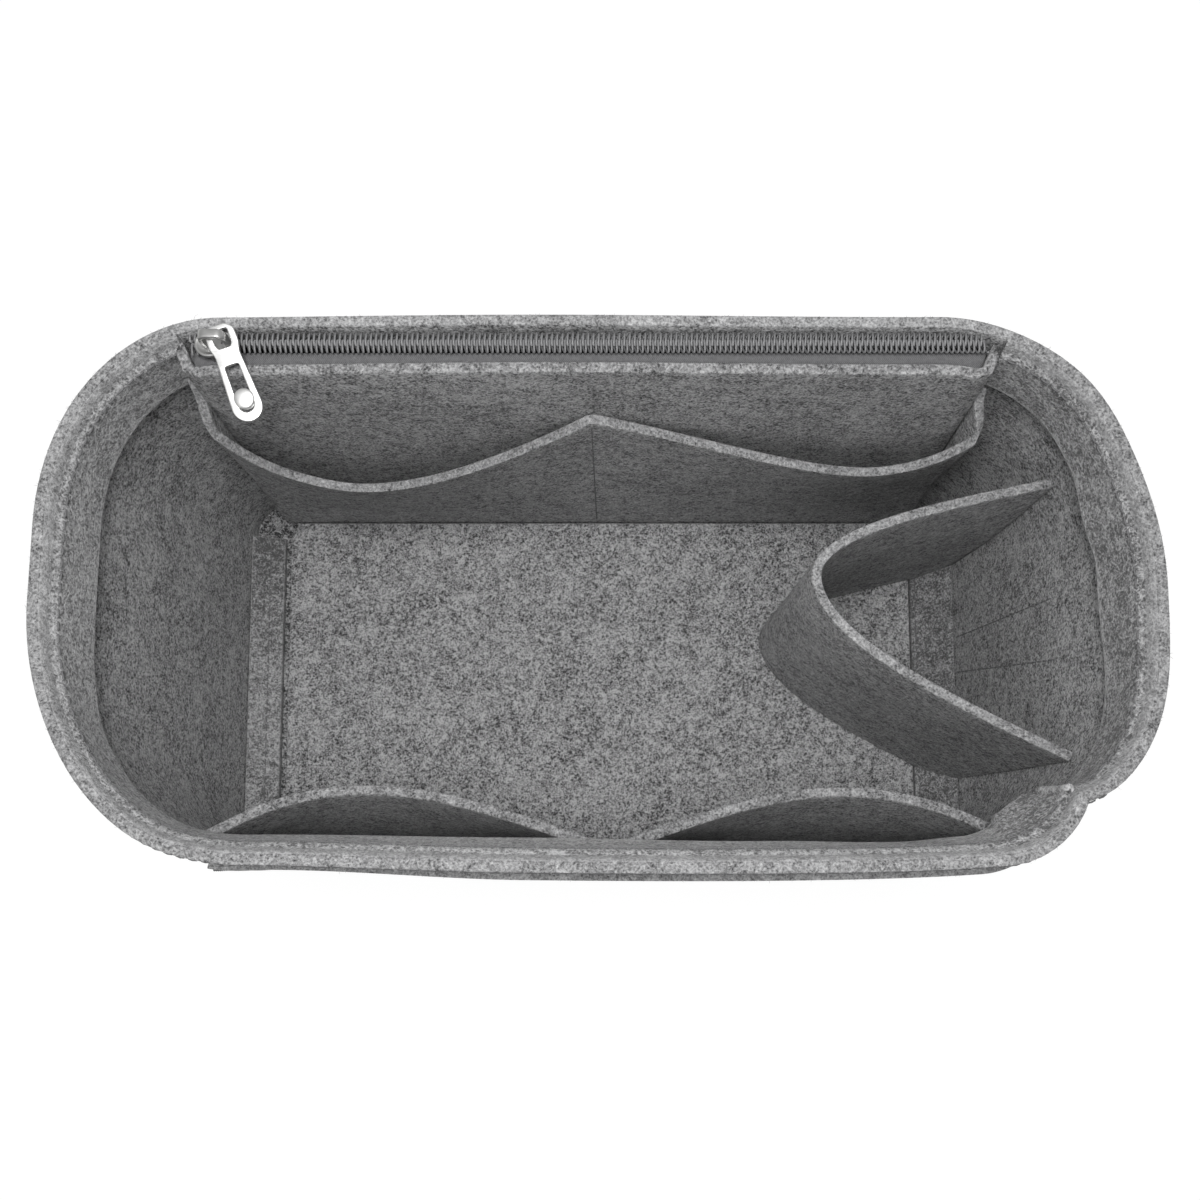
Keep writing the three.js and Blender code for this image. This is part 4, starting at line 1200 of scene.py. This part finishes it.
def side_lip(side):
    """Turned-down edge of the roof: a short wall with round ends beside the coil."""
    x = np.array([-1.5, 5.0]) * MM
    turn = np.linspace(0, TAU, 24, endpoint=False)
    half_length, half_thick = (x[1] - x[0]) / 2, 0.42 * MM
    plan = np.stack([squared(np.cos(turn), 0.3) * half_length + x.mean(),
                     squared(np.sin(turn), 0.5) * half_thick + side * (ROOF_HALF - 0.62 * MM)], -1)
    return lofted_plate(plan, TAPE_TOP + 0.35 * MM, ROOF_UNDER + 0.4 * MM, 0.2 * MM)


slider_shift = np.array([SLIDER_X, ZIP_Y, 0])
neck_turn = np.linspace(0, TAU, 24, endpoint=False)
neck_plan = np.stack([1.3 * np.cos(neck_turn) - 3.2, 0.5 * np.sin(neck_turn)], -1) * MM
slider_parts = {
    "slider_roof": lofted_plate(plate_outline(ROOF_HALF), ROOF_UNDER, ROOF_TOP, PLATE_BEVEL, 0.3 * MM),
    "slider_sole": lofted_plate(plate_outline(SOLE_HALF), SOLE_TOP - PLATE_THICK, SOLE_TOP, PLATE_BEVEL),
    "slider_neck": lofted_plate(neck_plan, SOLE_TOP - 0.3 * MM, TAPE_TOP + 0.6 * MM, 0.05 * MM),
    "slider_lip_back": side_lip(1),
    "slider_lip_front": side_lip(-1),
    "slider_bridge": arch_bridge(),
}
slider_pieces = {
    label: make_piece(label, points + slider_shift, faces, brushed, "slider")
    for label, (points, faces) in slider_parts.items()
}
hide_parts("slider_body")

PULL_PIVOT = np.array([joint["pos_m"] for joint in frame["record"]["behaviour"]["joints"]
                       if joint["name"] == "pull_swivel"][0])
PULL_SLOPE, PULL_YAW = np.radians(13), np.radians(19.5)
PULL_SHIFT = np.array([-0.9 * MM, 0, 0])
PULL_DROP = 2.35 * MM
PULL_THICK, PULL_BEVEL = 1.1 * MM, 0.28 * MM
BEAD_PLACE = 17 * MM


def pull_place(points):
    """Points of the tab's own plane (across, from the bar to the tip, up) set on the slider at its hang."""
    slope = np.array([[1, 0, 0],
                      [0, np.cos(PULL_SLOPE), np.sin(PULL_SLOPE)],
                      [0, -np.sin(PULL_SLOPE), np.cos(PULL_SLOPE)]])
    yaw = np.pi + PULL_YAW
    turn = np.array([[np.cos(yaw), -np.sin(yaw), 0], [np.sin(yaw), np.cos(yaw), 0], [0, 0, 1]])
    return PULL_PIVOT + PULL_SHIFT + points @ (turn @ slope).T


def smooth_loop(corners, count, passes):
    """Corners of a loop in millimetres, spaced evenly and rounded by averaging neighbours."""
    even = even_loop(np.array(corners + corners[:1], dtype=float) * MM, count)
    for _ in range(passes):
        even = (np.roll(even, 1, axis=0) + 2 * even + np.roll(even, -1, axis=0)) / 4
    return even


def half_round(centre_y, radius, start, count=17):
    turn = np.linspace(start, start + np.pi, count)
    return [(radius * np.cos(t), centre_y + radius * np.sin(t)) for t in turn]


def pull_tab_mesh():
    """The tab as an outline with an eye and a slot, given thickness and round edges by a bevelled curve."""
    outer = smooth_loop([(-2.3, -2.9), (2.3, -2.9), (4.0, -1.3), (4.1, 2.3), (3.35, 4.9)]
                        + half_round(18.9, 4.2, 0.0) + [(-3.35, 4.9), (-4.1, 2.3), (-4.0, -1.3)], 220, 6)
    eye = smooth_loop([(-2.2, -1.6), (-2.2, 1.9), (-1.6, 3.1), (1.6, 3.1), (2.2, 1.9), (2.2, -1.6)], 80, 4)
    slot = smooth_loop([(1.9, 7.8), (2.1, 18.4)] + half_round(18.4, 2.1, 0.0) + [(-1.9, 7.8)], 110, 3)
    curve = bpy.data.curves.new("pull_plan", "CURVE")
    curve.dimensions = "2D"
    curve.fill_mode = "BOTH"
    curve.bevel_depth = PULL_BEVEL
    curve.offset = -PULL_BEVEL
    curve.extrude = PULL_THICK / 2 - PULL_BEVEL
    curve.bevel_resolution = 3
    for loop in (outer, eye, slot):
        spline = curve.splines.new("POLY")
        spline.points.add(len(loop) - 1)
        flat = np.column_stack([loop, np.zeros(len(loop)), np.ones(len(loop))])
        spline.points.foreach_set("co", flat.ravel())
        spline.use_cyclic_u = True
    plan = new_object("pull_plan", curve)
    mesh = bpy.data.meshes.new_from_object(plan.evaluated_get(bpy.context.evaluated_depsgraph_get()))
    bpy.data.objects.remove(plan)
    points = read(mesh.vertices, "co", 3)
    faces = [list(polygon.vertices) for polygon in mesh.polygons]
    bpy.data.meshes.remove(mesh)
    same, index = np.unique(np.round(points / (1e-3 * MM)).astype(int), axis=0, return_inverse=True)
    index = index.ravel()
    return same * 1e-3 * MM, [[int(index[k]) for k in face] for face in faces]


def lathe(profile, sides):
    """A profile of (radius, height) in millimetres turned about the upright axis, capped at its ends."""
    angle = np.arange(sides) * TAU / sides
    radius, height = np.array(profile).T[..., None] * MM
    return capped_tube(np.stack([radius * np.cos(angle), radius * np.sin(angle), height + 0 * angle], -1))


tab_points, tab_faces = pull_tab_mesh()
tab_points = pull_place(tab_points + np.array([0, 0, -PULL_DROP]))
tab = make_piece("pull_tab_nickel", tab_points, outward(tab_points, tab_faces), nickel, "pull")
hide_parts("pull_tab")

# Profile of the bead in millimetres of radius and height: two domes and a waist in the tab's slot
DOME = [(2.7 * np.cos(t), 0.78 + 0.5 * np.sin(t)) for t in np.radians([0, 12, 25, 40, 55, 70, 84])]
WAIST = [(2.6, -0.72), (1.55, -0.68), (1.55, 0.68), (2.6, 0.72)]
bead_profile = [(r, -h) for r, h in DOME[::-1]] + WAIST + DOME
bead_points, bead_faces = lathe(bead_profile, 40)
bead_points = pull_place(bead_points + np.array([0, BEAD_PLACE, -PULL_DROP]))
bead = make_piece("pull_bead_nickel", bead_points, bead_faces, nickel, "pull")
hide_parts("pull_bead")


# Loose fibres

def cut_edge_samples(piece, count, draw):
    """Random places on a sheet's cut edges, by area, with the direction out of the felt."""
    mesh = piece.data
    points, normals = (read(mesh.vertices, label, 3) for label in ("co", "normal"))
    weight = read(mesh.attributes["cut_edge"].data, "value", kind=np.float32)
    size, first = (read(mesh.polygons, label, kind=np.int32) for label in ("loop_total", "loop_start"))
    corner = read(mesh.loops, "vertex_index", kind=np.int32)
    quads = corner[first[size == 4][:, None] + np.arange(4)]
    quads = quads[weight[quads].min(axis=1) > 0.5]
    a, b, c, d = (points[quads[:, k]] for k in range(4))
    area = np.linalg.norm(np.cross(c - a, d - b), axis=1)
    pick = quads[draw.choice(len(quads), count, p=area / area.sum())]
    s, t = draw.uniform(size=(2, count, 1))
    shares = np.stack([(1 - s) * (1 - t), s * (1 - t), s * t, (1 - s) * t])
    where = sum(points[pick[:, k]] * shares[k] for k in range(4))
    out = sum(normals[pick[:, k]] * shares[k] for k in range(4))
    return where, unit(out)


FIBRE_LENGTH = 0.55 * MM
FIBRE_ROOT, FIBRE_KNEE = 0.04 * MM, 0.032 * MM


def fibres(name, amounts, seed):
    """Loose hairs on cut edges: three-sided spikes that lean away at random and bend to their tips."""
    draw = np.random.default_rng(seed)
    samples = [cut_edge_samples(piece, count, draw) for piece, count in amounts]
    root = np.concatenate([where for where, _ in samples])
    out = np.concatenate([way for _, way in samples])
    count = len(root)
    way = unit(out + 0.75 * draw.normal(size=(count, 3)))
    bent = unit(way + 0.6 * draw.normal(size=(count, 3)))
    length = FIBRE_LENGTH * np.exp(0.5 * draw.normal(size=(count, 1)))
    side = unit(np.cross(way, draw.normal(size=(count, 3))))
    knee = root + 0.5 * length * way
    tip = knee + 0.5 * length * bent
    angle = np.arange(3)[:, None] * TAU / 3
    spoke = np.cos(angle) * side[:, None] + np.sin(angle) * np.cross(way, side)[:, None]
    foot = root - 0.1 * MM * way
    points = np.concatenate([foot[:, None] + FIBRE_ROOT * spoke, knee[:, None] + FIBRE_KNEE * spoke,
                             tip[:, None]], 1)
    shift = 7 * np.arange(count)[:, None, None]
    quads = np.array([[0, 1, 4, 3], [1, 2, 5, 4], [2, 0, 3, 5]]) + shift
    tris = np.array([[3, 4, 6], [4, 5, 6], [5, 3, 6], [2, 1, 0]]) + shift
    faces = quads.reshape(-1, 4).tolist() + tris.reshape(-1, 3).tolist()
    points = points.reshape(-1, 3)
    return make_piece(name, points, outward(points, faces), fibre_grey, "organizer")


fibres("rim_fibres", [(back_wall, 1500), (left_wall, 2200), (front_wall, 2200), (right_wall, 2200),
                      (facing_left, 3000), (facing_right, 1600)], 21)
fibres("pocket_fibres", [(zip_felt, 1800), (back_felt, 2200), (front_felt, 2000), (loop_felt, 1800),
                         (sleeve_felt, 1200), (pen_felt, 500), (pad, 900)], 22)


# Stage, light and camera

WHITE_GLOW = 1.05


def show_bright(tree, seen, plain, bright, output):
    """Shows a bright shader to the rays that seen picks, and a plain one to the others."""
    blend = add_node(tree, "MixShader")
    for socket, value in zip(blend.inputs, (seen, plain.outputs[0], bright.outputs[0])):
        put(tree, socket, value)
    put(tree, tree.nodes[output].inputs["Surface"], blend.outputs[0])


def studio():
    """A white floor that keeps a faint shadow, a soft world that the camera sees white, and two lamps."""
    reach = 3.0
    corners = [(-reach, -reach, 0), (reach, -reach, 0), (reach, reach, 0), (-reach, reach, 0)]
    floor_mesh = bpy.data.meshes.new("studio_floor")
    floor_mesh.from_pydata(corners, [], [(0, 1, 2, 3)])
    floor = new_object("studio_floor", floor_mesh)
    floor.location.z = cad_low[2] - 0.2 * MM
    material, tree, bsdf = shaded("studio white", Roughness=0.9, Base_Color=(0.86, 0.86, 0.86, 1))
    light = add_node(tree, "LightPath")
    seen = maths(tree, "MAXIMUM", light.outputs["Is Camera Ray"], light.outputs["Is Glossy Ray"])
    seen = maths(tree, "MAXIMUM", seen, light.outputs["Is Transmission Ray"])
    glow = add_node(tree, "Emission", Strength=WHITE_GLOW)
    show_bright(tree, maths(tree, "MULTIPLY", seen, 0.9), bsdf, glow, "Material Output")
    floor_mesh.materials.append(material)

    world = bpy.data.worlds.new("soft white")
    world.use_nodes = True
    tree = world.node_tree
    sky = tree.nodes["Background"]
    sky.inputs["Color"].default_value = (1, 1, 1, 1)
    sky.inputs["Strength"].default_value = 0.5
    backdrop = add_node(tree, "Background", Color=(1, 1, 1, 1), Strength=WHITE_GLOW)
    seen = add_node(tree, "LightPath").outputs["Is Camera Ray"]
    show_bright(tree, seen, sky, backdrop, "World Output")
    bpy.context.scene.world = world

    for name, place, size, power in (
        ("over the camera", (-0.02, -0.03, 0.56), 0.15, 1.68),
        ("overhead", (0.0, 0.05, 1.3), 0.8, 0.5),
    ):
        lamp = bpy.data.lights.new(name, "AREA")
        lamp.size = size
        lamp.energy = power
        stand = new_object(name, lamp)
        stand.location = place
        aim = Vector((0, 0, 0.08)) - Vector(place)
        stand.rotation_euler = aim.to_track_quat("-Z", "Y").to_euler()
        stand.visible_camera = False


FRAME_PIXELS = 1200
CAMERA_FOCAL = 1036.9
CAMERA_PLACE = (0, -0.0651, 0.4179)
CAMERA_TILT = np.radians(5)
PRINCIPAL_U, PRINCIPAL_V = 597, 747.3


def camera():
    """The photograph's view: nearly straight down, with the frame shifted up past the front."""
    data = bpy.data.cameras.new("photo view")
    data.sensor_width = 36
    data.lens = 36 * CAMERA_FOCAL / FRAME_PIXELS
    data.shift_x = (FRAME_PIXELS / 2 - PRINCIPAL_U) / FRAME_PIXELS
    data.shift_y = (PRINCIPAL_V - FRAME_PIXELS / 2) / FRAME_PIXELS
    data.clip_start = 0.01
    eye = new_object("photo view", data)
    eye.location = CAMERA_PLACE
    eye.rotation_euler = (CAMERA_TILT, 0, 0)
    bpy.context.scene.camera = eye


studio()
camera()
bpy.context.scene.view_settings.view_transform = "Standard"
